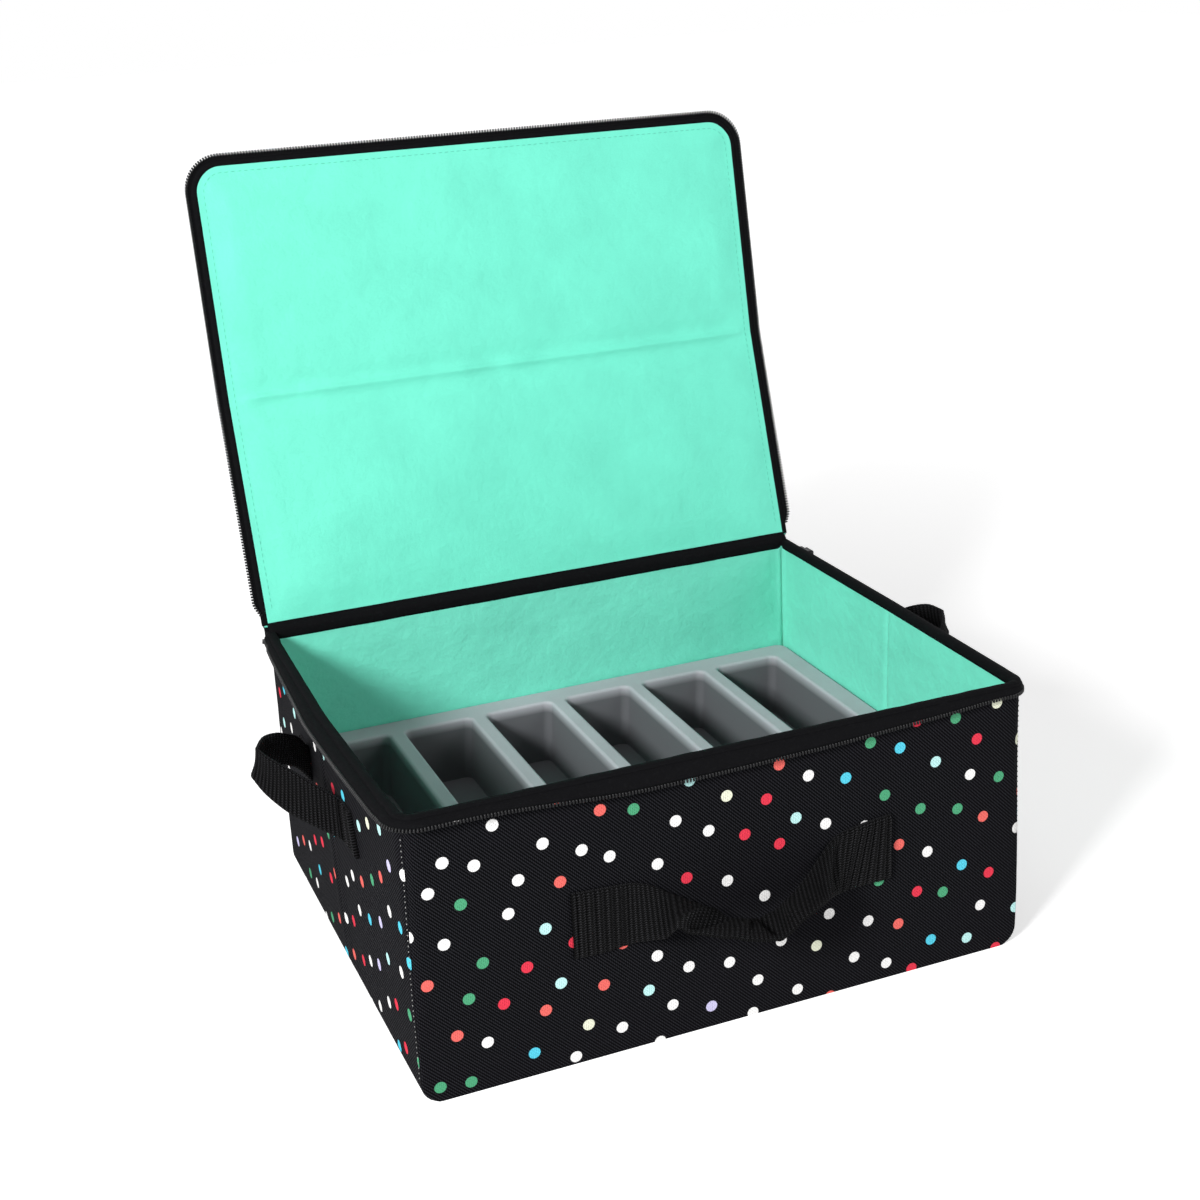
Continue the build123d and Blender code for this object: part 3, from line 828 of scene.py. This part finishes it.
# A side loop's edges from its front sewn end to the rear one, as (out from the wall, y, height)
side_face = half_width + web_gap + web_thickness / 2
side_sewn = 22.0
side_belly = -1.2
side_tip = 7
side_top = (
    (0, -54, 129.5), (0, -45, 129.5), (0.5, -37, 130), (5, -32, 132.5), (12.5, -25, 137.5), (22, -16, 144),
    (30.5, -8, 149.5), (34.5, 0, 152.5), (29, 8, 154.5), (20.5, 15, 152.3), (13, 22, 147), (7, 30, 141),
    (1.5, 36, 132), (0, 45, 129.5), (0, 58, 129.5),
)
side_low = (
    (0, -60, 104.5), (0, -48, 104.5), (0.5, -38, 104.5), (6, -32, 107), (14.5, -26, 112), (25.5, -18, 119),
    (34.5, -9, 128), (39.5, 0, 136), (34, 9, 136.5), (25, 16, 133), (17, 22, 128.5), (9, 30, 121),
    (1.5, 36, 109), (0, 45, 104.5), (0, 58, 104.5),
)
for side, sign in left_right.items():
    top, low = (
        settled([(sign * (side_face + out), y, z) for out, y, z in line]) for line in (side_top, side_low)
    )
    for half, end, span in (("front", -1, slice(None, side_tip + 1)), ("rear", 1, slice(side_tip, None))):
        edges = [line[span][::sign] for line in (top, low)]
        strap = web_strap(
            f"{side}_handle_{half}_half", *edges, side_web_width, side_belly, side_sewn, sign != end,
            (f"{side}_handle_strap", f"{side}_handle_ends"),
        )
        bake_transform(strap)

# A black binding covers the walls' top edge on three sides. It is a woven strip, rolled over the edge
# and sewn down on both faces, and it rounds the corners.
binding_dark, binding_light = (0.001, 0.001, 0.0013), (0.0065, 0.0065, 0.0075)
binding_lint = (0.02, 0.02, 0.022)
binding, tree, shader = new_material("black_binding", Roughness=0.85, Specular_IOR_Level=0.05)
where = frame_place(tree)
grainy = mottled(tree, where, binding_dark, binding_light, scale=2400.0, detail=2.0)
fuzzy = linty(
    tree, where, grainy["Colour"], binding_lint, scale=420.0, detail=5.0, amount=0.3, roughness=0.65
)
paint(tree, shader, fuzzy)
fine = bump(tree, shader, grainy["Height"], distance=0.0002, strength=0.8)
bump(tree, shader, noise(tree, where, scale=60.0), 0.003, 0.25, fine)

rim_rear = half_depth - 1.0
rim_thickness = 0.6
rim_side_steps, corner_steps, front_steps = 70, 14, 110
rim_bulge_rows, rim_bulge = slice(3, 8), 0.15
rim_bow_inset = 0.97


def round_edge(side, far, radius, start, side_steps):
    """Places and outward directions round three sides of a rectangle, from (-side, start) along far
    and its two rounded corners to (side, start)."""
    inner_x, inner_y = side - radius, far - radius
    line = [(-side, y, -1, 0) for y in np.linspace(start, inner_y, side_steps, endpoint=False)]
    for a in np.linspace(pi, 1.5 * pi, corner_steps, endpoint=False):
        line.append((-side + radius * (1 + cos(a)), far - radius * (1 + sin(a)), cos(a), -sin(a)))
    line += [(x, far, 0, 1) for x in np.linspace(-inner_x, inner_x, front_steps, endpoint=False)]
    for a in np.linspace(1.5 * pi, 2 * pi, corner_steps, endpoint=False):
        line.append((side - radius * (1 - cos(a)), far - radius * (1 + sin(a)), cos(a), -sin(a)))
    line += [(side, y, 1, 0) for y in np.linspace(inner_y, start, side_steps + 1)]
    return np.array(line)[:, :2], np.array(line)[:, 2:]


def rim_stations(out, radius, rear):
    """Places and outward directions round three sides of the case, at a distance outside its walls."""
    rounds = round_edge(half_width + out, half_depth + out, radius, -rear, rim_side_steps)
    return (part * (1, -1) for part in rounds)


def bowed_only(points):
    """Rim points already rounded at the corners: only the sides' bow is added."""
    points = np.array(points, float)
    shift = settled(points * (1, rim_bow_inset, 1))
    keep = np.abs(points[..., 1]) < half_depth - 2 * rim_corner_round
    points[..., 0] = np.where(keep, shift[..., 0], points[..., 0])
    return points


def strip_sheet(name, thickness, slot, grid, body, stands_for, facing=(0, 0, 1)):
    """A narrow black tape on a grid whose rows run along it."""
    size = [np.mean([lengths_along(row)[-1] for row in rows]) for rows in (grid, grid.transpose(1, 0, 2))]
    flat = np.zeros(grid.shape[:2] + (2,))
    cloth = (thickness, binding, slot)
    return make_sheet(name, cloth, grid, flat, body, stands_for, facing)


def at_heights(line, heights):
    """A line in the plane, each point with its height or all with one."""
    return np.column_stack([line, np.broadcast_to(heights, len(line))])


# Across the binding: how far outside the wall, height, and the radius it turns the corners with
binding_rows = (
    (-4.2, 159.4, 6.0), (-4.4, 160.4, 6.0), (-4.5, 162.2, 6.0), (-4.3, 163.7, 6.0), (-3.7, 164.6, 6.5),
    (-2.7, 165.0, 7.0), (-1.4, 165.2, 8.5), (0.1, 165.0, 10.0), (1.1, 164.4, 11.0), (1.5, 163.5, 11.5),
    (1.1, 162.8, 11.0), (0.3, 162.6, 10.0),
)
grid = []
for out, height, radius in binding_rows:
    places, ways = rim_stations(out, radius, rim_rear)
    grid.append(at_heights(places, height))
grid = bowed_only(grid)
along = np.arange(grid.shape[1])
grid[rim_bulge_rows, :, 2] += rim_bulge * np.sin(along * 0.9) * np.sin(along * 0.23)
bindings = ("rim_binding_front", "rim_binding_left", "rim_binding_right")
strip_sheet("rim_binding", rim_thickness, "black_fabric", grid, "case", bindings)

# The zip's tape is woven polyester, sewn in under the binding. It flares outward and sags along the
# front, and carries one row of the coil along its edge. The back has a hinge tape instead.
zip_rear = half_depth - 6.0
zip_corner = 12.0
zip_tape_thickness = 0.7
tape_hem = ((0.45, 160.0), (0.4, 161.5), (0.35, 163.0))
tape_start_out, tape_start_z = 0.3, 163.8
tape_rows = 9
tape_bulge, tape_bulge_out, tape_bulge_up = 1.3, 0.7, 0.6
tape_soften = 17
# How far the coil stands out from the wall, and how far it hangs below the rim, along the rim: first
# from the hinge down the left side, then along the front, then back along the right side
zip_left = (
    (136, 3.2, 3.2), (124, 4.2, 4.2), (100, 4.8, 4.5), (60, 6.0, 4.0), (20, 7.2, 3.4), (0, 8.2, 3.2),
    (-46, 8.2, 3.4), (-80, 7.6, 3.6), (-118, 6.4, 4.4),
)
zip_front = (
    (-160, 5.2, 4.6), (-128, 5.2, 5.0), (-92, 4.8, 8.2), (-57, 4.4, 11.0), (-10, 4.4, 10.9), (56, 4.4, 9.8),
    (129, 4.0, 6.8), (158, 3.0, 5.2),
)
zip_right = ((-130, 3.4, 5.6), (-113, 5.8, 7.4), (-100, 6.0, 7.6), (0, 6.0, 7.6), (136, 6.0, 7.6))

places, ways = rim_stations(0.0, zip_corner, zip_rear)
run = lengths_along(places)
keys = [((-half_width, y), out, drop) for y, out, drop in zip_left]
keys += [((x, -half_depth), out, drop) for x, out, drop in zip_front]
keys += [((half_width, y), out, drop) for y, out, drop in zip_right]
keys = np.array([(run[np.argmin(np.hypot(*(places - at).T))], out, drop) for at, out, drop in keys])
soften = np.hanning(tape_soften) / np.hanning(tape_soften).sum()
steps = (np.interp(run, keys[:, 0], keys[:, k]) for k in (1, 2))
outs, drops = (
    np.convolve(np.pad(line, tape_soften // 2, mode="edge"), soften, mode="valid") for line in steps
)
grid = [at_heights(places + ways * out, height) for out, height in tape_hem]
for share in np.linspace(0, 1, tape_rows):
    bulge = tape_bulge * sin(pi * share)
    reach = tape_start_out + (outs - tape_start_out) * share + tape_bulge_out * bulge
    height = tape_start_z - (drops - (case_height - tape_start_z)) * share + tape_bulge_up * bulge
    grid.append(at_heights(places + ways * reach[:, None], height))
tape_grid = bowed_only(grid)
strip_sheet(
    "case_zip_tape_flared", zip_tape_thickness, "zip_tape", tape_grid, "case", ("case_zip_tape",),
)

# The coil is black nylon thread, formed into a row of bent loops and sewn to the tape's edge. Each
# shows as a small waisted bar across the edge.
coil_dark, coil_light = (0.003, 0.003, 0.0035), (0.012, 0.012, 0.013)
coil_pitch = 1.8
coil_profile = ((-1.1, 0.4), (-0.9, 0.66), (-0.1, 0.68), (0.5, 0.6), (0.85, 0.66), (1.1, 0.4))
coil_reach = 0.7
bar_height_share = 1.25
bar_sides = 6
stop_room = 3.2
coil, tree, shader = new_material("nylon_coil", Roughness=0.5, Specular_IOR_Level=0.2)
scuffed = mottled(tree, frame_place(tree), coil_dark, coil_light, scale=1500.0, low=0.4, high=0.8)
paint(tree, shader, scuffed["Colour"])
tree.links.new(spread(tree, scuffed["Height"], 0.3, 0.8, 0.3, 0.5), shader.inputs["Roughness"])


def bars_along(line, inward, upward, stations, bar_profile):
    """Points and faces of bars across a line, one at each station along it. A bar's profile is
    (distance outward, half its width); it is bar_height_share as high."""
    run = lengths_along(line)
    points, faces = [], []
    for s in stations:
        centre, back, up = (
            np.array([np.interp(s, run, rows[:, k]) for k in range(3)]) for rows in (line, inward, upward)
        )
        out = -back / np.linalg.norm(back)
        up = up - out * (up @ out)
        up /= np.linalg.norm(up)
        along = np.cross(up, out)
        start = len(points)
        for reach, size in bar_profile:
            for a in np.arange(bar_sides) * 2 * pi / bar_sides:
                ring = along * size * cos(a) + up * size * bar_height_share * sin(a)
                points.append(centre + out * reach + ring)
        faces += grid_faces(len(bar_profile), bar_sides, start, closed=True)
        faces.append([start + k for k in range(bar_sides)][::-1])
        faces.append([len(points) - bar_sides + k for k in range(bar_sides)])
    return points, faces


def beyond_edge(edge, inward, reach):
    """An edge line moved outward, so that the coil sits over the tape's end."""
    return edge - inward / np.linalg.norm(inward, axis=1)[:, None] * reach


inward = tape_grid[-3] - tape_grid[-1]
upward = np.cross(np.gradient(tape_grid[-1], axis=0), inward)
upward *= np.sign(upward[:, 2:3] + 1e-9)
coil_line = beyond_edge(tape_grid[-1], inward, coil_reach)
coil_run = lengths_along(coil_line)[-1]
stations = np.arange(stop_room, coil_run - stop_room, coil_pitch)
points, faces = bars_along(coil_line, inward, upward, stations, coil_profile)
make_piece("case_zip_loops", points, faces, coil, "case", ("case_zip_coil",))

# The slider, its pull and the zip's end stops are cast zinc, black enamelled and a little worn. The
# stops are clamped round the coil's ends, and the slider runs between them.
enamel_black, worn_zinc = (0.018, 0.018, 0.02), (0.16, 0.155, 0.15)
stop_profile = ((-1.5, 0.9), (-1.3, 1.3), (1.2, 1.3), (1.4, 0.9))
enamel, tree, shader = new_material("black_enamel", Metallic=0.6, Roughness=0.35)
worn = mottled(
    tree, frame_place(tree), enamel_black, worn_zinc, scale=800.0, detail=5.0, roughness=0.7, low=0.58,
    high=0.72,
)
paint(tree, shader, worn["Colour"])
tree.links.new(spread(tree, worn["Height"], 0.3, 0.8, 0.22, 0.5), shader.inputs["Roughness"])
bump(tree, shader, worn["Height"], distance=0.0002, strength=0.4)
stations = (stop_room / 2, coil_run - stop_room / 2)
points, faces = bars_along(coil_line, inward, upward, stations, stop_profile)
make_piece("case_zip_stops", points, faces, enamel, "case", ("zip_end_stops",))
for node in ("zip_slider", "zip_pull"):
    dress_cad(node, enamel)

# The lid is one panel of the same layers, stiffened by two boards, so it folds across its middle. Its
# cloth and lining run over the fold in one piece. Everything on it is laid out flat, as x, distance
# from the hinge and height above the lining, and then raised to where the open lid stands.
joint_places = {joint["name"]: Vector(joint["pos_m"]) / MM for joint in frame["joints"] if "pos_m" in joint}
hinge_pin = joint_places["lid_hinge"]
fold_distance = 142.0
lid_reach = 284.0
lid_angle = radians(71.3)
lid_bend = radians(7.2)
fold_depth = -3.5
fold_blend, fold_ride = 5.0, 0.8
lid_corner = 17.0
lid_start = 1.0
lid_half_rows, lid_fold_rows, lid_corner_rows = 45, 11, 12
lid_stitch_inset = 5.0
lining_outset, cover_outset = 1.4, 0.6
# The lining's ridge at the fold, the dip either side of it and its row of stitches, as width and height
lid_ridge, lid_dip_at, lid_dip, lid_sewn = (2.2, 1.2), 7, (4.5, 0.9), (1.2, 0.45)
lid_rest, lid_flattest, lid_pillow, pillow_edge, pillow_rise = 0.3, 0.1, 1.2, 5.5, 14
fold_wrinkle, drawn_wrinkle = 0.55, 0.4
cover_depth, cover_calm, cover_puff, cover_waver = 3.1, 20, 0.8, 0.6
cover_groove, cover_groove_fade = (2.0, 0.8), 10
lining_columns, cover_columns = 120, 100
lid_mint_colour = (0.16, 0.76, 0.57)


def raised(points):
    """Flat lid points to where they stand, bending smoothly over the fold."""
    points = np.array(points, float)
    x, v, h = points[..., 0], points[..., 1], points[..., 2]
    share = np.clip((v - fold_distance) / fold_blend + 0.5, 0, 1)
    bend = lid_bend * smooth_step(share, 0, 1)
    past, above = v - fold_distance, h - fold_depth
    v = np.where(share > 0, fold_distance + past * np.cos(bend) - above * np.sin(bend), v)
    h = np.where(share > 0, fold_depth + past * np.sin(bend) + above * np.cos(bend), h)
    y = hinge_pin.y + v * cos(lid_angle) - h * sin(lid_angle)
    z = hinge_pin.z + v * sin(lid_angle) + h * cos(lid_angle)
    return stacked(x, y, z)


def over_fold(piece):
    """Bakes a piece's placement into its mesh; its points were already bent over the lid's fold."""
    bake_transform(piece)


def lid_grid(outset, columns):
    """Flat places over the lid, out to outset beyond its board, finer at the fold."""
    side, far, radius = half_width + outset, lid_reach + outset, lid_corner + outset
    v = np.concatenate(
        [
            np.linspace(lid_start, fold_distance - 6, lid_half_rows),
            np.linspace(fold_distance - 5, fold_distance + 5, lid_fold_rows),
            np.linspace(fold_distance + 6, far - radius, lid_half_rows),
            far - radius + radius * np.sin(np.linspace(0, pi / 2, lid_corner_rows))[1:],
        ]
    )[:, None]
    past = np.clip(v - (far - radius), 0, radius)
    x = np.linspace(-1, 1, columns) * (side - radius + np.sqrt(np.maximum(radius**2 - past**2, 0)))
    return x, v + 0 * x


def lining_height(x, v):
    """The lining's height over its board. Two slight pillows lie either side of the fold's ridge, which
    draws short wrinkles; a row of stitches pulls the lining down near its edge."""
    to_edge = np.minimum(np.minimum(half_width - np.abs(x), lid_reach - v), v)
    off = v - fold_distance
    fold = ridge(off, *lid_ridge) - ridge(np.abs(off) - lid_dip_at, *lid_dip)
    wrinkle = fold_wrinkle * np.sin(x / 9 + 2.2 * np.sin(x / 31)) * ridge(off, 11)
    drawn = drawn_wrinkle * np.sin((x * 0.35 + v * 0.9) / 14) * fade(60 - np.abs(v - 60), 60)
    sewn = ridge(to_edge - lid_stitch_inset, *lid_sewn)
    pillow = lid_pillow + ripple(x, v, seed=41)
    height = lid_rest + fade(to_edge - pillow_edge, pillow_rise) * (pillow + fold + wrinkle + drawn)
    return np.maximum(height - sewn, lid_flattest)


lid_mint = mint_cloth("mint_lid_lining", 0.003, lid_mint_colour)
lid_up = np.array((0, -sin(lid_angle), cos(lid_angle)))


def lid_sheet(kind, cloth, x, v, height, facing):
    """The lid's lining or cover, which bends with the fold."""
    stands_for = (f"lid_rear_{kind}", f"lid_front_{kind}")
    grid = raised(stacked(x, v, height))
    over_fold(
        make_sheet(f"lid_{kind}", cloth, grid, stacked(x, v), None, stands_for, facing)
    )


lid_liner = (liner_thickness, lid_mint, "mint_lining")
x, v = lid_grid(lining_outset, lining_columns)
lid_sheet("lining", lid_liner, x, v, lining_height(x, v), lid_up)

# The cover puffs a little under each board, and a groove marks the fold
x, v = lid_grid(cover_outset, cover_columns)
calm = fade(half_width - np.abs(x), cover_calm) * fade(lid_reach - v, cover_calm) * fade(v, cover_calm)
off = v - fold_distance
puff = cover_puff * (1 + cover_waver * ripple(x, v, seed=43)) * fade(np.abs(off), cover_groove_fade)
puff = puff - ridge(off, *cover_groove)
lid_sheet("cover", case_skin, x, v, -cover_depth - puff * calm, -lid_up)

# A woven binding is folded over the lid's edge and sewn through, from one rear corner round to the
# other. The zip's other tape and its row of coil are sewn in under it.
lid_side_steps = 150
lid_binding_start, lid_binding_thickness = 2.0, 0.5
lid_binding_rows = (
    (-1.6, -3.5), (0.2, -3.5), (1.6, -3.2), (2.4, -2.3), (2.7, -1.2), (2.5, -0.2), (1.9, 0.3), (0.8, 0.5),
    (-0.8, 0.5), (-1.2, 0.2),
)
lid_tape_start, lid_tape_taper, lid_hem_out = 5.0, 12.0, 1.0
lid_tape_rows = ((-6.2, -0.2), (-2.0, -0.3), (1.0, -0.5), (2.4, -0.2), (3.9, 0.3), (5.2, 0.5))
lid_coil_reach, lid_coil_room = 0.4, 4.0


def lid_edge_line(outset, start):
    """Round the lid's edge from one rear corner to the other, as x and distance from the hinge."""
    side, far, radius = half_width + outset, lid_reach + outset, lid_corner + outset
    return round_edge(side, far, radius, start, lid_side_steps)[0]


def lid_strip_grid(rows, start, taper=0.0):
    """Rows round the lid's edge. Each is (distance outside it, height). Over a length of taper from its
    start, what lies outside lid_hem_out draws in towards the hinge."""
    hem = lid_edge_line(lid_hem_out, start)
    grid = []
    for out, height in rows:
        line = lid_edge_line(out, start)
        if taper and out > lid_hem_out:
            line = hem + (line - hem) * smooth_step(hem[:, 1:], start, start + taper)
        grid.append(at_heights(line, height))
    return np.array(grid)


edge_grid = raised(lid_strip_grid(lid_binding_rows, lid_binding_start))
over_fold(
    strip_sheet(
        "lid_edge_binding", lid_binding_thickness, "black_fabric", edge_grid, None, ()
    )
)
flat_tape = lid_strip_grid(lid_tape_rows, lid_tape_start, lid_tape_taper)
lid_tapes = ("lid_rear_zip_tapes", "lid_front_zip_tape")
over_fold(
    strip_sheet(
        "lid_zip_tape", zip_tape_thickness, "zip_tape", raised(flat_tape), None, lid_tapes,
    )
)
tape_edge = raised(flat_tape[-1])
inward = raised(flat_tape[-1] * (0.98, 0.98, 1.0)) - tape_edge
upward = raised(flat_tape[-1] + (0, 0, 1.0)) - tape_edge
coil_line = beyond_edge(tape_edge, inward, lid_coil_reach)
stations = np.arange(lid_coil_room, lengths_along(coil_line)[-1] - lid_coil_room, coil_pitch)
points, faces = bars_along(coil_line, inward, upward, stations, coil_profile)
lid_coils = ("lid_rear_zip_coils", "lid_front_zip_coil")
over_fold(make_piece("lid_zip_loops", points, faces, coil, None, lid_coils))

# The lid's lining is sewn down all round with mint polyester thread, in one row of machine stitches a
# little way in from the edge binding.
stitch_length, stitch_pitch, stitch_radius = 2.6, 4.0, 0.22
stitch_lift, stitch_start = 0.1, 8.0
mint_thread = thread_material("mint_thread", 0.6, (0.05, 0.42, 0.30), (0.13, 0.66, 0.48))
flat_line = lid_edge_line(-lid_stitch_inset, stitch_start)
heights = lining_height(flat_line[:, 0], flat_line[:, 1]) + stitch_lift
points, faces = stitch_row(at_heights(flat_line, heights), stitch_length, stitch_pitch, stitch_radius)
over_fold(make_piece("lid_stitches", raised(points), faces, mint_thread, None))

# The hinge is a strip of black tape: it is sewn inside the back wall's top edge, runs over it, and is
# sewn under the lid's lining. A second strip joins the back wall's cloth to the lid's cover.
hinge_tape_thickness = 0.6
waver_long, waver_short = 23.0, 8.0
inner_line = ((4.0, 159.2), (4.6, 160.2), (4.8, 162.0), (4.6, 164.6), (3.6, 166.4), (2.3, 167.6))
inner_line = [(0, half_depth - inset, z) for inset, z in inner_line]
inner_line += raised([[0, 1.5, 1.1], [0, 3.2, 1.0]]).tolist()
outer_line = [(0, half_depth + out, z) for out, z in ((0.9, 158.0), (1.1, 162.0), (1.6, 165.0))]
outer_line += (raised([[0, 1.5, -4.2], [0, 4.0, -4.0]]) + (0, 0.2, 0)).tolist()
hinge_tapes = (
    ("hinge_tape_inside", inner_line, 30, half_width - 0.5, 100, 0.25, (0, -1, 1)),
    ("hinge_tape_outside", outer_line, 24, half_width + 1.5, 80, 0.0, (0, 1, 0)),
)
for name, line, rows, reach, columns, waver, facing in hinge_tapes:
    strip = smooth_line(line, rows)
    x = np.linspace(-reach, reach, columns)
    wavy = waver * np.sin(x / waver_short) * np.sin(x / waver_long)
    grid = stacked(x, strip[:, 1:2] + wavy, strip[:, 2:])
    tape = strip_sheet(
        name, hinge_tape_thickness, "black_fabric", grid, None, ("hinge_tape",), facing
    )
    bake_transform(tape)

# The part stands on a pale matt table in soft studio light, from the front left and above. The table
# and the room show as white to the camera, and the table keeps the part's shadow.
table_corners = [(-6, -6, 0), (6, -6, 0), (6, 8, 0), (-6, 8, 0)]
table_glow = (0.52, 0.95)
glow_rise = (0.5, 1.6)
room_light = 0.16
room_seen = 1.0
softboxes = (
    ("key_light", (-1.7, -1.2, 1.25), (0, 0.05, 0.15), (0.5, 0.5), 62.0),
    ("fill_light", (1.2, -1.8, 0.9), (0, 0, 0.2), (1.0, 1.0), 14.0),
    ("top_light", (-0.2, 0.1, 2.2), (0, 0, 0.1), (1.2, 1.2), 5.0),
)


def seen_directly(tree):
    """1 for rays that show the surroundings to the camera, also by a reflection or through glass."""
    rays = add_node(tree, "LightPath")
    seen = calc(tree, "MAXIMUM", rays["Is Camera Ray"], rays["Is Transmission Ray"])
    return calc(tree, "MAXIMUM", seen, rays["Is Glossy Ray"])


floor_mesh = bpy.data.meshes.new("table")
floor_mesh.from_pydata(table_corners, [], [[0, 1, 2, 3]])
table = bpy.data.objects.new("table", floor_mesh)
scene.collection.objects.link(table)
pale, tree, shader = new_material(
    "pale_table", Roughness=0.9, Base_Color=(0.93, 0.93, 0.93), Emission_Color=(1.0, 1.0, 1.0)
)
floor_mesh.materials.append(pale)
away = add_node(tree, "VectorMath", {0: frame_place(tree)}, operation="LENGTH")["Value"]
glow = spread(tree, away, *glow_rise, *table_glow)
tree.links.new(calc(tree, "MULTIPLY", seen_directly(tree), glow), shader.inputs["Emission Strength"])

world = bpy.data.worlds.new("studio")
scene.world = world
world.use_nodes = True
tree = world.node_tree
sky = tree.nodes["Background"]
sky.inputs["Color"].default_value = (1, 1, 1, 1)
tree.links.new(spread(tree, seen_directly(tree), 0.0, 1.0, room_light, room_seen), sky.inputs["Strength"])

for name, light_place, aim, size, power in softboxes:
    light = bpy.data.objects.new(name, bpy.data.lights.new(name, "AREA"))
    scene.collection.objects.link(light)
    light.data.shape = "RECTANGLE"
    light.data.size, light.data.size_y = size
    light.data.energy = power
    light.location = light_place
    light.rotation_mode = "QUATERNION"
    light.rotation_quaternion = (Vector(aim) - Vector(light_place)).to_track_quat("-Z", "Y")
